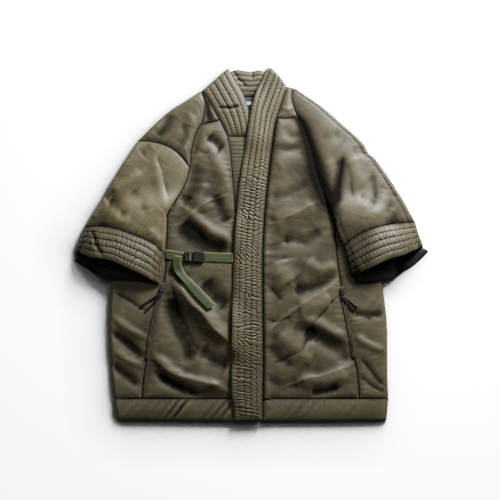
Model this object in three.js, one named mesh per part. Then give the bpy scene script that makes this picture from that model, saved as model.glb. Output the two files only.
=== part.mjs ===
import * as THREE from "three";

// Padded kimono jacket, laid flat with its front up. Millimetres, the surface is z = 0, the hem
// points to -Y. "right" and "left" are the wearer's, so the right side lies at -X.

// Cloth
const SEAM_GAP = 0.9;
const BACK_SEAM_GAP = 3;
const WALL = 7;
const UNDER_BAND_WALL = 5;
const SEAM_WALL = 3;
const LOFT_REACH = 10;
const FOLD_TURN = 8;
const TUCK = 11;
const INSET_REACH = 40;
const DEEPEST_FOLD = -3;

// Quilted bands: the collar band, its right-hand strip, the neck stand and the cuffs
const QUILT = { height: 2.2, roundness: 0.7, middle: 0.5 };
const BAND_CHANNELS = 5;
const STRIP_CHANNELS = 5;
const CUFF_CHANNELS = 5;
const STAND_CHANNELS = 5;
const CUFF_BACK_QUILT = 0.6;

// Sleeves: how far the front layer stands off the back one at the cuff seam and at the mouth
const SLEEVE_LIFT = 9;
const CUFF_MOUTH = 22;
const CUFF_MOUTH_ROUND = 0.6;

// Body: where the hem seam is crossed by the edges, pocket seams and bands, and the heights of the
// shoulder line and the yoke seams on the armholes and the collar
const HEM_SEAM = {
  y: -339,
  right: -302,
  rightPocket: -240,
  rightBand: -31,
  leftBand: 25,
  leftPocket: 237,
  left: 301,
};
const HEM_EDGE = { right: -296, left: 297 };
const YOKE = { armhole: 262, collar: 272, shoulder: 329, collarShoulder: 331, leftShoulder: 332 };
const NECK_STAND = { from: 0.235, to: 0.83 };
const SIDE_TOP = { hidden: 0.12, pocket: 0.02 };
const SLEEVE_BACK_TOP = { outer: 0.09, inner: 0.1 };
const UNDERARM_MARGIN = 40;
const SLEEVE_FOLD_MARGIN = 12;
const HEM_PLEAT = { pitch: 24, slant: 0.8, height: 1.1 };
const LABEL = { left: -33, right: 23, bottom: 281, top: 321, thick: 0.8 };

// Belt of 20 mm webbing with a side-release buckle
const WEBBING = 20;
const WEBBING_THICK = 1.6;
const BELT_Y = -28;
const STRAP = { seamX: -187, bandX: -41, seamY: -22, bandY: -30 };
const BUCKLE = { x: -125, length: 44, width: 24, height: 8, socket: 25, corner: 4, bevel: 1.5 };
const PLUG = { width: 22, height: 7, corner: 3 };

// Free end of the webbing: it leaves the buckle's bar and hangs down over the right front
const TAIL = {
  left: [
    { x: -168, y: -25 },
    { x: -171, y: -36 },
    { x: -168, y: -59 },
    { x: -151, y: -79 },
    { x: -125, y: -111 },
    { x: -95, y: -142 },
  ],
  right: [
    { x: -152, y: -27 },
    { x: -154, y: -42 },
    { x: -146, y: -61 },
    { x: -132, y: -76 },
    { x: -108, y: -100 },
    { x: -78, y: -131 },
  ],
};

// Pocket zips
const ZIP_TAPE = { width: 7, thick: 1.4 };
const SLIDER = { length: 11, width: 8, height: 5, channel: 2.8, play: 0.4, drop: 1.4, chamfer: 0.9 };
const PULL_LINK = { length: 9, width: 4.5, thick: 1.6, corner: 1.5, bevel: 0.4 };
const PULLER = { radius: 2.1, rings: 3, sides: 10 };
const ZIPS = [
  {
    side: "right",
    top: -86,
    bottom: -250,
    slider: -100,
    tips: [{ x: -243, y: -137 }, { x: -232, y: -148 }],
  },
  {
    side: "left",
    top: -94,
    bottom: -246,
    slider: -104,
    tips: [{ x: 230, y: -137 }, { x: 224, y: -145 }],
  },
];

// Drape: the height of each layer is kept on a square grid
const CELL = 4;
const HALF_SIDE = 408;
const NEAR_CELLS = 3;
const BLUR_CELLS = 2;
const LAYER_GAP = 0.35;

const COLOUR = {
  nylon: 0x6e6855,
  elbow: 0x8a8569,
  inside: 0x2e2c25,
  label: 0x2b3350,
  webbing: 0x6b7a3c,
  buckle: 0x151515,
  metal: 0x4a4b4e,
};
const FINISH = {
  cloth: { roughness: 0.6, metalness: 0 },
  plastic: { roughness: 0.45, metalness: 0 },
  metal: { roughness: 0.35, metalness: 0.8 },
};

// Seams and edges in plan, one row for each turn of the edge
const SEAMS = {
  rightShoulder: [
    { x: -117, y: 333 },
    { x: -146, y: 314 },
    { x: -178, y: 294 },
    { x: -214, y: 262 },
    { x: -250, y: 226 },
  ],
  rightElbowOuter: [
    { x: -250, y: 226 },
    { x: -278, y: 183 },
    { x: -303, y: 144 },
    { x: -323, y: 108 },
    { x: -366, y: 38 },
  ],
  rightArmhole: [
    { x: -110, y: 336 },
    { x: -102, y: 310 },
    { x: -104, y: 284 },
    { x: -109, y: 265 },
    { x: -120, y: 245 },
    { x: -130, y: 209 },
    { x: -135, y: 167 },
  ],
  rightUnderarm: [
    { x: -135, y: 167 },
    { x: -146, y: 130 },
    { x: -166, y: 95 },
    { x: -185, y: 63 },
  ],
  rightSleeveFold: [
    { x: -185, y: 63 },
    { x: -185, y: 42 },
    { x: -187, y: 9 },
    { x: -192, y: -20 },
  ],
  rightElbowSeam: [
    { x: -250, y: 226 },
    { x: -223, y: 225 },
    { x: -199, y: 220 },
    { x: -174, y: 209 },
    { x: -154, y: 192 },
    { x: -135, y: 167 },
  ],
  rightCuffSeam: [
    { x: -366, y: 38 },
    { x: -338, y: 40 },
    { x: -291, y: 34 },
    { x: -260, y: 23 },
    { x: -229, y: 11 },
    { x: -206, y: -4 },
    { x: -192, y: -20 },
  ],
  rightCuffOuter: [
    { x: -366, y: 38 },
    { x: -374, y: 17 },
    { x: -390, y: -21 },
  ],
  rightCuffInner: [
    { x: -192, y: -20 },
    { x: -199, y: -41 },
    { x: -201, y: -61 },
    { x: -200, y: -88 },
  ],
  rightCuffHem: [
    { x: -390, y: -21 },
    { x: -376, y: -20 },
    { x: -348, y: -29 },
    { x: -307, y: -35 },
    { x: -268, y: -52 },
    { x: -229, y: -71 },
    { x: -200, y: -88 },
  ],
  rightCuffBackSeam: [
    { x: -356, y: 39 },
    { x: -338, y: 40 },
    { x: -291, y: 34 },
    { x: -260, y: 23 },
    { x: -229, y: 11 },
    { x: -203, y: -7 },
  ],
  rightCuffBackOuter: [
    { x: -356, y: 39 },
    { x: -364, y: 15 },
    { x: -380, y: -20 },
    { x: -388, y: -37 },
  ],
  rightCuffBackInner: [
    { x: -203, y: -7 },
    { x: -209, y: -41 },
    { x: -212, y: -61 },
    { x: -214, y: -86 },
  ],
  rightCuffBackHem: [
    { x: -388, y: -37 },
    { x: -362, y: -54 },
    { x: -338, y: -68 },
    { x: -308, y: -77 },
    { x: -261, y: -80 },
    { x: -214, y: -86 },
  ],
  rightHiddenSide: [
    { x: -185, y: 63 },
    { x: -219, y: 44 },
    { x: -256, y: 14 },
    { x: -294, y: -30 },
    { x: -308, y: -77 },
  ],
  rightSide: [
    { x: -308, y: -77 },
    { x: -310, y: -112 },
    { x: -312, y: -182 },
    { x: -308, y: -283 },
    { x: -302, y: -339 },
  ],
  rightPocketSeam: [
    { x: -185, y: 63 },
    { x: -185, y: 20 },
    { x: -186, y: -13 },
    { x: -188, y: -60 },
    { x: -194, y: -90 },
    { x: -202, y: -118 },
    { x: -216, y: -179 },
    { x: -229, y: -250 },
    { x: -236, y: -290 },
    { x: -240, y: -339 },
  ],
  rightYokeSeam: [
    { x: -110, y: 262 },
    { x: -81, y: 269 },
    { x: -70, y: 272 },
  ],
  rightCollarOuter: [
    { x: -108, y: 338 },
    { x: -89, y: 306 },
    { x: -70, y: 272 },
    { x: -52, y: 236 },
  ],
  rightCollarInner: [
    { x: -51, y: 387 },
    { x: -34, y: 357 },
    { x: -16, y: 324 },
    { x: -2, y: 279 },
    { x: 1, y: 236 },
  ],
  rightBandOuter: [
    { x: -52, y: 236 },
    { x: -47, y: 209 },
    { x: -39, y: 124 },
    { x: -34, y: 53 },
    { x: -31, y: -123 },
    { x: -31, y: -385 },
  ],
  rightBandInner: [
    { x: 1, y: 236 },
    { x: 6, y: 185 },
    { x: 10, y: 97 },
    { x: 11, y: -35 },
    { x: 11, y: -385 },
  ],
  leftBandInner: [
    { x: 31, y: 383 },
    { x: 11, y: 336 },
    { x: -1, y: 298 },
    { x: -5, y: 275 },
    { x: -12, y: 226 },
    { x: -21, y: 167 },
    { x: -29, y: 108 },
    { x: -35, y: 40 },
    { x: -39, y: -33 },
    { x: -44, y: -248 },
    { x: -43, y: -330 },
    { x: -37, y: -386 },
  ],
  leftCollarTop: [
    { x: 31, y: 383 },
    { x: 40, y: 388 },
    { x: 61, y: 371 },
    { x: 78, y: 346 },
  ],
  leftCollarOuter: [
    { x: 78, y: 346 },
    { x: 66, y: 307 },
    { x: 56, y: 277 },
  ],
  leftBandOuter: [
    { x: 56, y: 277 },
    { x: 52, y: 265 },
    { x: 44, y: 209 },
    { x: 38, y: 161 },
    { x: 31, y: 96 },
    { x: 27, y: 40 },
    { x: 24, y: -33 },
    { x: 26, y: -248 },
    { x: 25, y: -339 },
    { x: 25, y: -386 },
  ],
  neckTop: [
    { x: -62, y: 360 },
    { x: -50, y: 374 },
    { x: -38, y: 383 },
    { x: -1, y: 380 },
    { x: 19, y: 383 },
    { x: 28, y: 378 },
    { x: 40, y: 368 },
    { x: 52, y: 353 },
  ],
  neckSeam: [
    { x: -108, y: 329 },
    { x: -52, y: 325 },
    { x: -3, y: 324 },
    { x: 41, y: 325 },
    { x: 89, y: 332 },
  ],
  leftYokeSeam: [
    { x: 56, y: 277 },
    { x: 76, y: 276 },
    { x: 101, y: 279 },
  ],
  leftArmholeUpper: [
    { x: 90, y: 343 },
    { x: 89, y: 318 },
    { x: 95, y: 296 },
    { x: 101, y: 279 },
  ],
  leftArmhole: [
    { x: 101, y: 279 },
    { x: 112, y: 259 },
    { x: 126, y: 221 },
    { x: 136, y: 186 },
    { x: 147, y: 142 },
    { x: 168, y: 91 },
    { x: 181, y: 54 },
  ],
  leftSleeveFold: [
    { x: 181, y: 54 },
    { x: 184, y: 31 },
    { x: 192, y: 11 },
    { x: 200, y: -5 },
  ],
  leftSleeveOuter: [
    { x: 98, y: 342 },
    { x: 120, y: 327 },
    { x: 148, y: 308 },
    { x: 195, y: 268 },
    { x: 246, y: 221 },
    { x: 258, y: 200 },
    { x: 271, y: 189 },
    { x: 325, y: 111 },
    { x: 360, y: 49 },
  ],
  leftCuffSeam: [
    { x: 200, y: -5 },
    { x: 218, y: 11 },
    { x: 240, y: 25 },
    { x: 269, y: 37 },
    { x: 294, y: 42 },
    { x: 328, y: 47 },
    { x: 360, y: 49 },
  ],
  leftCuffOuter: [
    { x: 360, y: 49 },
    { x: 367, y: 25 },
    { x: 378, y: -4 },
  ],
  leftCuffInner: [
    { x: 200, y: -5 },
    { x: 206, y: -27 },
    { x: 213, y: -57 },
    { x: 218, y: -72 },
  ],
  leftCuffHem: [
    { x: 218, y: -72 },
    { x: 235, y: -63 },
    { x: 269, y: -46 },
    { x: 302, y: -31 },
    { x: 328, y: -24 },
    { x: 353, y: -14 },
    { x: 378, y: -4 },
  ],
  leftCuffBackSeam: [
    { x: 210, y: 4 },
    { x: 240, y: 25 },
    { x: 269, y: 37 },
    { x: 294, y: 42 },
    { x: 328, y: 47 },
    { x: 350, y: 48 },
  ],
  leftCuffBackOuter: [
    { x: 350, y: 48 },
    { x: 357, y: 24 },
    { x: 366, y: 0 },
    { x: 390, y: -14 },
  ],
  leftCuffBackInner: [
    { x: 210, y: 4 },
    { x: 216, y: -27 },
    { x: 223, y: -55 },
    { x: 226, y: -85 },
  ],
  leftCuffBackHem: [
    { x: 226, y: -85 },
    { x: 252, y: -85 },
    { x: 289, y: -78 },
    { x: 319, y: -68 },
    { x: 353, y: -49 },
    { x: 378, y: -27 },
    { x: 390, y: -14 },
  ],
  leftHiddenSide: [
    { x: 181, y: 54 },
    { x: 208, y: 36 },
    { x: 243, y: 7 },
    { x: 274, y: -30 },
    { x: 287, y: -79 },
  ],
  leftSide: [
    { x: 287, y: -79 },
    { x: 294, y: -135 },
    { x: 298, y: -173 },
    { x: 299, y: -276 },
    { x: 301, y: -339 },
  ],
  leftPocketSeam: [
    { x: 181, y: 54 },
    { x: 185, y: 9 },
    { x: 190, y: -46 },
    { x: 197, y: -94 },
    { x: 206, y: -144 },
    { x: 217, y: -194 },
    { x: 224, y: -246 },
    { x: 232, y: -281 },
    { x: 237, y: -339 },
  ],
};

// Largest folds, one row each: from, to, half-width and height (a negative height is a trough)
const FOLDS = [
  { x1: -305, y1: 117, x2: -239, y2: 157, width: 9, height: 3.5 },
  { x1: -353, y1: 60, x2: -317, y2: 100, width: 8, height: 3 },
  { x1: -311, y1: 97, x2: -276, y2: 58, width: 9, height: -2.6 },
  { x1: -213, y1: 186, x2: -196, y2: 124, width: 8, height: 2.4 },
  { x1: -196, y1: 124, x2: -185, y2: 63, width: 8, height: 2.4 },
  { x1: -222, y1: 34, x2: -197, y2: 6, width: 6, height: 2.5 },
  { x1: -180, y1: 285, x2: -205, y2: 235, width: 11, height: -2.6 },
  { x1: -135, y1: 283, x2: -119, y2: 255, width: 8, height: 2.6 },
  { x1: -128, y1: 238, x2: -149, y2: 198, width: 8, height: 2.6 },
  { x1: -81, y1: 248, x2: -62, y2: 214, width: 9, height: -2.4 },
  { x1: -106, y1: 168, x2: -104, y2: 110, width: 14, height: -2.6 },
  { x1: -101, y1: 102, x2: -50, y2: 26, width: 15, height: -2.6 },
  { x1: -186, y1: -65, x2: -129, y2: -138, width: 20, height: 3 },
  { x1: -129, y1: -138, x2: -52, y2: -192, width: 20, height: 3 },
  { x1: -162, y1: -138, x2: -162, y2: -240, width: 16, height: -2.4 },
  { x1: -205, y1: -270, x2: -118, y2: -300, width: 11, height: -2.4 },
  { x1: -118, y1: -300, x2: -58, y2: -307, width: 11, height: -2.4 },
  { x1: -307, y1: -192, x2: -233, y2: -250, width: 11, height: -2.4 },
  { x1: -307, y1: -263, x2: -246, y2: -310, width: 11, height: -2.4 },
  { x1: 110, y1: -188, x2: 161, y2: -230, width: 13, height: -2.6 },
  { x1: 161, y1: -230, x2: 222, y2: -275, width: 13, height: -2.6 },
  { x1: 28, y1: -240, x2: 71, y2: -265, width: 8, height: -2.2 },
  { x1: 61, y1: -50, x2: 61, y2: -100, width: 16, height: 2.6 },
  { x1: 237, y1: -250, x2: 291, y2: -312, width: 8, height: -2.4 },
  { x1: 233, y1: -290, x2: 293, y2: -330, width: 8, height: -2.4 },
  { x1: 204, y1: 192, x2: 184, y2: 82, width: 11, height: -3 },
  { x1: 206, y1: 190, x2: 222, y2: 64, width: 12, height: 3 },
  { x1: 110, y1: 330, x2: 150, y2: 215, width: 14, height: -2.4 },
  { x1: 294, y1: 108, x2: 274, y2: 58, width: 7, height: 2.6 },
  { x1: 311, y1: 80, x2: 291, y2: 58, width: 6, height: 2.4 },
  { x1: 240, y1: 86, x2: 256, y2: 56, width: 8, height: 2.6 },
];

const clamp01 = (value) => Math.min(1, Math.max(0, value));
const mix = (a, b, share) => a + (b - a) * share;
const smooth = (value) => clamp01(value) ** 2 * (3 - 2 * clamp01(value));

// Edge of a piece through the rows of a table, as a function of the share of its length.
function edge(rows) {
  const points = rows.map((row) => new THREE.Vector3(row.x, row.y, 0));
  const curve = new THREE.CatmullRomCurve3(points, false, "centripetal");
  const length = curve.getLength();
  return { length, at: (share) => curve.getPointAt(clamp01(share)) };
}

// One edge made of several that follow each other.
function joined(...edges) {
  const length = edges.reduce((sum, part) => sum + part.length, 0);
  function at(share) {
    let left = clamp01(share) * length;
    for (const part of edges.slice(0, -1)) {
      if (left <= part.length) return part.at(left / part.length);
      left -= part.length;
    }
    const last = edges[edges.length - 1];
    return last.at(left / last.length);
  }
  return { length, at };
}

// The stretch of an edge between two shares of its length, turned round when from > to.
function stretch(whole, from, to) {
  const length = whole.length * Math.abs(to - from);
  return { length, at: (share) => whole.at(mix(from, to, share)) };
}

const straight = (a, b) => edge([a, b]);
const reversed = (whole) => stretch(whole, 1, 0);

const seam = Object.fromEntries(
  Object.entries(SEAMS).map(([name, rows]) => [name, edge(rows)]),
);

// A height grid over the surface, one for each piece that is laid down.
const SIDE_CELLS = (2 * HALF_SIDE) / CELL + 1;
const emptyGrid = () => new Float32Array(SIDE_CELLS * SIDE_CELLS);
const cellOf = (value) => (value + HALF_SIDE) / CELL;
const laid = new Map();

function raster(grid, a, b, c) {
  const area = (b.x - a.x) * (c.y - a.y) - (c.x - a.x) * (b.y - a.y);
  if (Math.abs(area) < 1e-6) return;
  const low = Math.ceil(cellOf(Math.min(a.y, b.y, c.y)));
  const high = Math.floor(cellOf(Math.max(a.y, b.y, c.y)));
  const first = Math.ceil(cellOf(Math.min(a.x, b.x, c.x)));
  const last = Math.floor(cellOf(Math.max(a.x, b.x, c.x)));
  for (let j = low; j <= high; j++) {
    for (let i = first; i <= last; i++) {
      const x = i * CELL - HALF_SIDE;
      const y = j * CELL - HALF_SIDE;
      const wb = ((x - a.x) * (c.y - a.y) - (c.x - a.x) * (y - a.y)) / area;
      const wc = ((b.x - a.x) * (y - a.y) - (x - a.x) * (b.y - a.y)) / area;
      if (wb < 0 || wc < 0 || wb + wc > 1) continue;
      const z = a.z + wb * (b.z - a.z) + wc * (c.z - a.z);
      grid[j * SIDE_CELLS + i] = Math.max(grid[j * SIDE_CELLS + i], z);
    }
  }
}

// Highest value within a number of cells, in rows and then in columns.
function spread(grid, cells) {
  return along(along(grid, cells, 1, Math.max), cells, SIDE_CELLS, Math.max);
}

function blurred(grid, cells) {
  const share = 1 / (2 * cells + 1);
  const sum = (total, value) => total + value * share;
  return along(along(grid, cells, 1, sum), cells, SIDE_CELLS, sum);
}

function along(grid, cells, step, combine) {
  const result = emptyGrid();
  for (let k = 0; k < grid.length; k++) {
    let value = 0;
    for (let n = -cells; n <= cells; n++) {
      const other = k + n * step;
      if (other >= 0 && other < grid.length) value = combine(value, grid[other]);
    }
    result[k] = value;
  }
  return result;
}

function heightIn(grid, x, y) {
  const fx = cellOf(x);
  const fy = cellOf(y);
  const i = Math.min(SIDE_CELLS - 2, Math.max(0, Math.floor(fx)));
  const j = Math.min(SIDE_CELLS - 2, Math.max(0, Math.floor(fy)));
  const k = j * SIDE_CELLS + i;
  const south = mix(grid[k], grid[k + 1], fx - i);
  const north = mix(grid[k + SIDE_CELLS], grid[k + SIDE_CELLS + 1], fx - i);
  return mix(south, north, fy - j);
}

// The surface that a piece is laid on: the tops of the named pieces, bridged softly at their edges.
function drapeOver(names, near = NEAR_CELLS, blur = BLUR_CELLS) {
  const highest = emptyGrid();
  for (const name of names) {
    const grid = laid.get(name);
    for (let k = 0; k < grid.length; k++) highest[k] = Math.max(highest[k], grid[k]);
  }
  const soft = blurred(blurred(spread(highest, near + 2 * blur), blur), blur);
  return (x, y) => {
    const z = heightIn(soft, x, y);
    return z + LAYER_GAP * Math.min(1, z);
  };
}

function foldHeight(x, y) {
  let total = 0;
  for (const fold of FOLDS) {
    const dx = fold.x2 - fold.x1;
    const dy = fold.y2 - fold.y1;
    const share = clamp01(((x - fold.x1) * dx + (y - fold.y1) * dy) / (dx * dx + dy * dy));
    const away = Math.hypot(x - fold.x1 - share * dx, y - fold.y1 - share * dy);
    total += fold.height * Math.exp(-((away / fold.width) ** 2));
  }
  return Math.max(DEEPEST_FOLD, total);
}

// Shares of an edge at which a grid has its lines: close together near each end, even between.
function stations(length, count, nearStart, nearEnd) {
  const shares = new Set([0, 1]);
  nearStart.forEach((distance) => shares.add(distance / length));
  nearEnd.forEach((distance) => shares.add(1 - distance / length));
  const from = nearStart.length ? Math.max(...nearStart) / length : 0;
  const to = nearEnd.length ? 1 - Math.max(...nearEnd) / length : 1;
  for (let n = 0; n <= count; n++) shares.add(mix(from, to, n / count));
  return [...shares].sort((a, b) => a - b);
}

// Plan of a piece between its four edges (a Coons patch).
function planOf({ south, north, west, east }) {
  return (u, v) => {
    const s = south.at(u);
    const n = north.at(u);
    const w = west.at(v);
    const e = east.at(v);
    const corner = (axis) => {
      const low = mix(south.at(0)[axis], south.at(1)[axis], u);
      const high = mix(north.at(0)[axis], north.at(1)[axis], u);
      return mix(low, high, v);
    };
    const x = mix(s.x, n.x, v) + mix(w.x, e.x, u) - corner("x");
    const y = mix(s.y, n.y, v) + mix(w.y, e.y, u) - corner("y");
    return new THREE.Vector3(x, y, 0);
  };
}

// Unit vector in plan that points from one of a piece's edges into the piece.
function inwardOf(plan) {
  const across = plan.south.at(1).sub(plan.south.at(0));
  const north = plan.north.at(0).add(plan.north.at(1));
  const south = plan.south.at(0).add(plan.south.at(1));
  const up = north.sub(south);
  const handed = Math.sign(across.x * up.y - across.y * up.x);
  const turn = { south: handed, north: -handed, west: -handed, east: handed };
  const step = 0.004;
  return (side, u, v) => {
    const share = side === "south" || side === "north" ? u : v;
    const after = plan[side].at(Math.min(1, share + step));
    const along = after.sub(plan[side].at(Math.max(0, share - step))).normalize();
    return new THREE.Vector3(-along.y * turn[side], along.x * turn[side], 0);
  };
}

const EDGE_LINES = { seam: [3, 9], hem: [2.5, 8], turn: [2.5, FOLD_TURN], tuck: [], loose: [] };
const EDGE_INSET = { seam: SEAM_GAP / 2, loose: BACK_SEAM_GAP / 2, hem: 0, turn: 0, tuck: 0 };

// What kind each edge of a piece is beside a point.
function edgeKinds(sides, u, v) {
  const kind = (side, share) => (typeof side === "function" ? side(share) : side);
  return {
    west: kind(sides.west, v),
    east: kind(sides.east, v),
    south: kind(sides.south, u),
    north: kind(sides.north, u),
  };
}

const group = new THREE.Group();

function addMesh(name, geometry, colour, finish) {
  const material = new THREE.MeshStandardMaterial({ color: colour, ...finish });
  const mesh = new THREE.Mesh(geometry, material);
  mesh.name = name;
  group.add(mesh);
  return mesh;
}

// A piece of cloth: a closed wall over its plan, laid on what lies under it.
// sides gives each edge's kind: "seam" is stitched to a neighbour, "hem" is a free edge, "turn" is
// a fold that turns down round the layer below, "tuck" ends inside such a fold.
function clothPiece(name, plan, options) {
  const {
    on = [],
    turnOn = [],
    sides,
    columns,
    rows,
    baseColumns = columns,
    baseRows = rows,
    wall = WALL,
    seamWall = SEAM_WALL,
    relief = (u, v, x, y) => foldHeight(x, y),
    lift = () => 0,
    lines = {},
    drape = {},
    sameBase = "",
    colour = COLOUR.nylon,
  } = options;
  const place = planOf(plan);
  const under = on.length ? drapeOver(on, drape.near, drape.blur) : () => 0;
  const turnUnder = turnOn.length ? drapeOver(turnOn, 2, 1) : () => 0;
  const width = (plan.south.length + plan.north.length) / 2;
  const height = (plan.west.length + plan.east.length) / 2;

  const inward = inwardOf(plan);
  const tuck = (kind, span) => (kind === "tuck" ? TUCK / span : 0);

  function section(gridU, v) {
    const kinds = edgeKinds(sides, gridU, v);
    const spanU = place(0, v).distanceTo(place(1, v));
    const spanV = place(gridU, 0).distanceTo(place(gridU, 1));
    const u = mix(tuck(kinds.west, spanU), 1 - tuck(kinds.east, spanU), gridU);
    const away = {
      west: gridU * spanU,
      east: (1 - gridU) * spanU,
      south: v * spanV,
      north: (1 - v) * spanV,
    };
    const point = place(u, v);
    let stitched = Infinity;
    let turned = Infinity;
    for (const side of Object.keys(away)) {
      const inset = EDGE_INSET[kinds[side]] * clamp01(1 - away[side] / INSET_REACH);
      if (inset > 0) point.addScaledVector(inward(side, u, v), inset);
      if (kinds[side] === "turn") turned = Math.min(turned, away[side]);
      else stitched = Math.min(stitched, away[side]);
    }
    const { x, y } = point;
    const loft = 1 - Math.exp(-Math.max(0, stitched) / LOFT_REACH);
    const raised = lift(gridU, v) * smooth(turned / (3 * FOLD_TURN));
    let low = under(x, y) + raised;
    let high = low + mix(seamWall, wall, loft) + relief(gridU, v, x, y) * loft;
    if (turned < FOLD_TURN) {
      const share = turned / FOLD_TURN;
      const floor = Math.min(low, turnUnder(x, y));
      high = mix(floor + seamWall, high, Math.sqrt(1 - (1 - share) ** 2));
      low = mix(floor, low, share ** 2);
    }
    return { x, y, low, high };
  }

  const kindAt = (side) => side.lines ?? side;
  const near = (side) => EDGE_LINES[kindAt(side)];
  const baseNear = (side) => (kindAt(side) === "turn" ? EDGE_LINES.turn : []);
  const topU = lines.u ?? stations(width, columns, near(sides.west), near(sides.east));
  const topV = lines.v ?? stations(height, rows, near(sides.south), near(sides.north));
  const baseU = sameBase.includes("u")
    ? topU
    : stations(width, baseColumns, baseNear(sides.west), baseNear(sides.east));
  const baseV = sameBase.includes("v")
    ? topV
    : stations(height, baseRows, baseNear(sides.south), baseNear(sides.north));

  const positions = [];
  const corner = (x, y, z) => positions.push(x, y, z) / 3 - 1;
  const top = topV.map((v) =>
    topU.map((u) => {
      const at = section(u, v);
      return corner(at.x, at.y, at.high);
    }),
  );
  const base = baseV.map((v) =>
    baseU.map((u) => {
      const at = section(u, v);
      return corner(at.x, at.y, at.low);
    }),
  );

  const faces = [];
  const quads = (grid, flip) => {
    for (let j = 0; j + 1 < grid.length; j++) {
      for (let i = 0; i + 1 < grid[0].length; i++) {
        const [a, b] = [grid[j][i], grid[j][i + 1]];
        const [d, c] = [grid[j + 1][i], grid[j + 1][i + 1]];
        faces.push(flip ? [a, c, b] : [a, b, c]);
        faces.push(flip ? [a, d, c] : [a, c, d]);
      }
    }
  };
  const firstOf = (grid) => grid.map((row) => row[0]);
  const lastOf = (grid) => grid.map((row) => row.at(-1));
  quads(top, false);
  quads(base, true);
  wallBetween(faces, topU, top[0], baseU, base[0], false);
  wallBetween(faces, topU, top.at(-1), baseU, base.at(-1), true);
  wallBetween(faces, topV, firstOf(top), baseV, firstOf(base), true);
  wallBetween(faces, topV, lastOf(top), baseV, lastOf(base), false);

  const point = (k) => new THREE.Vector3().fromArray(positions, 3 * k);
  const grid = emptyGrid();
  for (let j = 0; j + 1 < top.length; j++) {
    for (let i = 0; i + 1 < top[0].length; i++) {
      const [a, b] = [point(top[j][i]), point(top[j][i + 1])];
      const [d, c] = [point(top[j + 1][i]), point(top[j + 1][i + 1])];
      raster(grid, a, b, c);
      raster(grid, a, c, d);
    }
  }
  laid.set(name, grid);

  const geometry = new THREE.BufferGeometry();
  geometry.setAttribute("position", new THREE.Float32BufferAttribute(positions, 3));
  geometry.setIndex(turnedOut(faces, point).flat());
  geometry.computeVertexNormals();
  addMesh(name, geometry, colour, FINISH.cloth);
}

// Side wall between an edge of the top and the same edge of the base, which has fewer points.
function wallBetween(faces, topShares, topRow, baseShares, baseRow, flip) {
  let i = 0;
  let j = 0;
  while (i + 1 < topRow.length || j + 1 < baseRow.length) {
    const nextTop = i + 1 < topRow.length ? topShares[i + 1] : Infinity;
    const nextBase = j + 1 < baseRow.length ? baseShares[j + 1] : Infinity;
    const face =
      nextTop <= nextBase
        ? [topRow[i], baseRow[j], topRow[++i]]
        : [topRow[i], baseRow[j], baseRow[++j]];
    faces.push(flip ? [face[0], face[2], face[1]] : face);
  }
}

// Faces of a closed wall with their outsides out, whichever way round its plan runs.
function turnedOut(faces, point) {
  let volume = 0;
  for (const [a, b, c] of faces) volume += point(a).dot(point(b).cross(point(c)));
  return volume > 0 ? faces : faces.map(([a, b, c]) => [a, c, b]);
}

// Quilting: rounded channels side by side across a band, with the stitch lines at their edges.
const channelHeight = (share, channels) =>
  QUILT.height * (Math.abs(Math.sin(Math.PI * channels * share)) ** QUILT.roundness - QUILT.middle);
const evenLines = (count) => Array.from({ length: count + 1 }, (_, n) => n / count);
const CHANNEL_SPANS = 3;
const channelLines = (channels) => evenLines(channels * CHANNEL_SPANS);

// Share of an edge at which it first reaches a value of y.
function shareAtY(whole, y) {
  const steps = 400;
  const above = whole.at(0).y > y;
  for (let n = 1; n <= steps; n++) {
    const here = whole.at(n / steps).y;
    if (here > y === above) continue;
    const before = whole.at((n - 1) / steps).y;
    return (n - 1 + (y - before) / (here - before)) / steps;
  }
  return 1;
}

const fromY = (whole, y) => stretch(whole, shareAtY(whole, y), 1);
const toY = (whole, y) => stretch(whole, 0, shareAtY(whole, y));

// Body: both sides of each panel run from the neck or shoulder down to the hem
const hemSeam = straight(
  { x: HEM_SEAM.right, y: HEM_SEAM.y },
  { x: HEM_SEAM.left, y: HEM_SEAM.y },
);
const hem = edge([
  { x: HEM_EDGE.right, y: -385 },
  { x: -219, y: -386 },
  { x: -37, y: -388 },
  { x: 113, y: -388 },
  { x: HEM_EDGE.left, y: -386 },
]);
const acrossHem = (whole, fromX, toX) => {
  const first = whole.at(0).x;
  const span = whole.at(1).x - first;
  return stretch(whole, (fromX - first) / span, (toX - first) / span);
};

// Below the underarm the back's sides are tucked inside the folded side panels; above it they are
// seams to the sleeves. The edges run up from the hem, so the upper part has the high shares.
function sideKind(whole, lowerLength, upperKind, lowerKind) {
  const kindOf = (share) => (share * whole.length > lowerLength ? upperKind : lowerKind);
  kindOf.lines = lowerKind;
  return kindOf;
}

function addBack() {
  const rightTop = joined(fromY(seam.rightArmhole, YOKE.shoulder), seam.rightUnderarm);
  const rightLow = joined(seam.rightHiddenSide, seam.rightSide);
  const leftTop = joined(fromY(seam.leftArmholeUpper, YOKE.leftShoulder), seam.leftArmhole);
  const leftLow = joined(seam.leftHiddenSide, seam.leftSide);
  const right = reversed(joined(rightTop, rightLow));
  const left = reversed(joined(leftTop, leftLow));
  clothPiece(
    "back_panel",
    { south: hemSeam, north: seam.neckSeam, west: right, east: left },
    {
      sides: {
        west: sideKind(right, rightLow.length + UNDERARM_MARGIN, "loose", "tuck"),
        east: sideKind(left, leftLow.length + UNDERARM_MARGIN, "loose", "tuck"),
        south: "seam",
        north: "seam",
      },
      columns: 6,
      rows: 24,
      relief: () => 0,
    },
  );
  clothPiece(
    "back_hem_band",
    {
      south: hem,
      north: hemSeam,
      west: straight(hem.at(0), hemSeam.at(0)),
      east: straight(hem.at(1), hemSeam.at(1)),
    },
    {
      sides: { west: "tuck", east: "tuck", south: "hem", north: "seam" },
      columns: 12,
      rows: 2,
      baseRows: 1,
      relief: () => 0,
    },
  );
}

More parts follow.
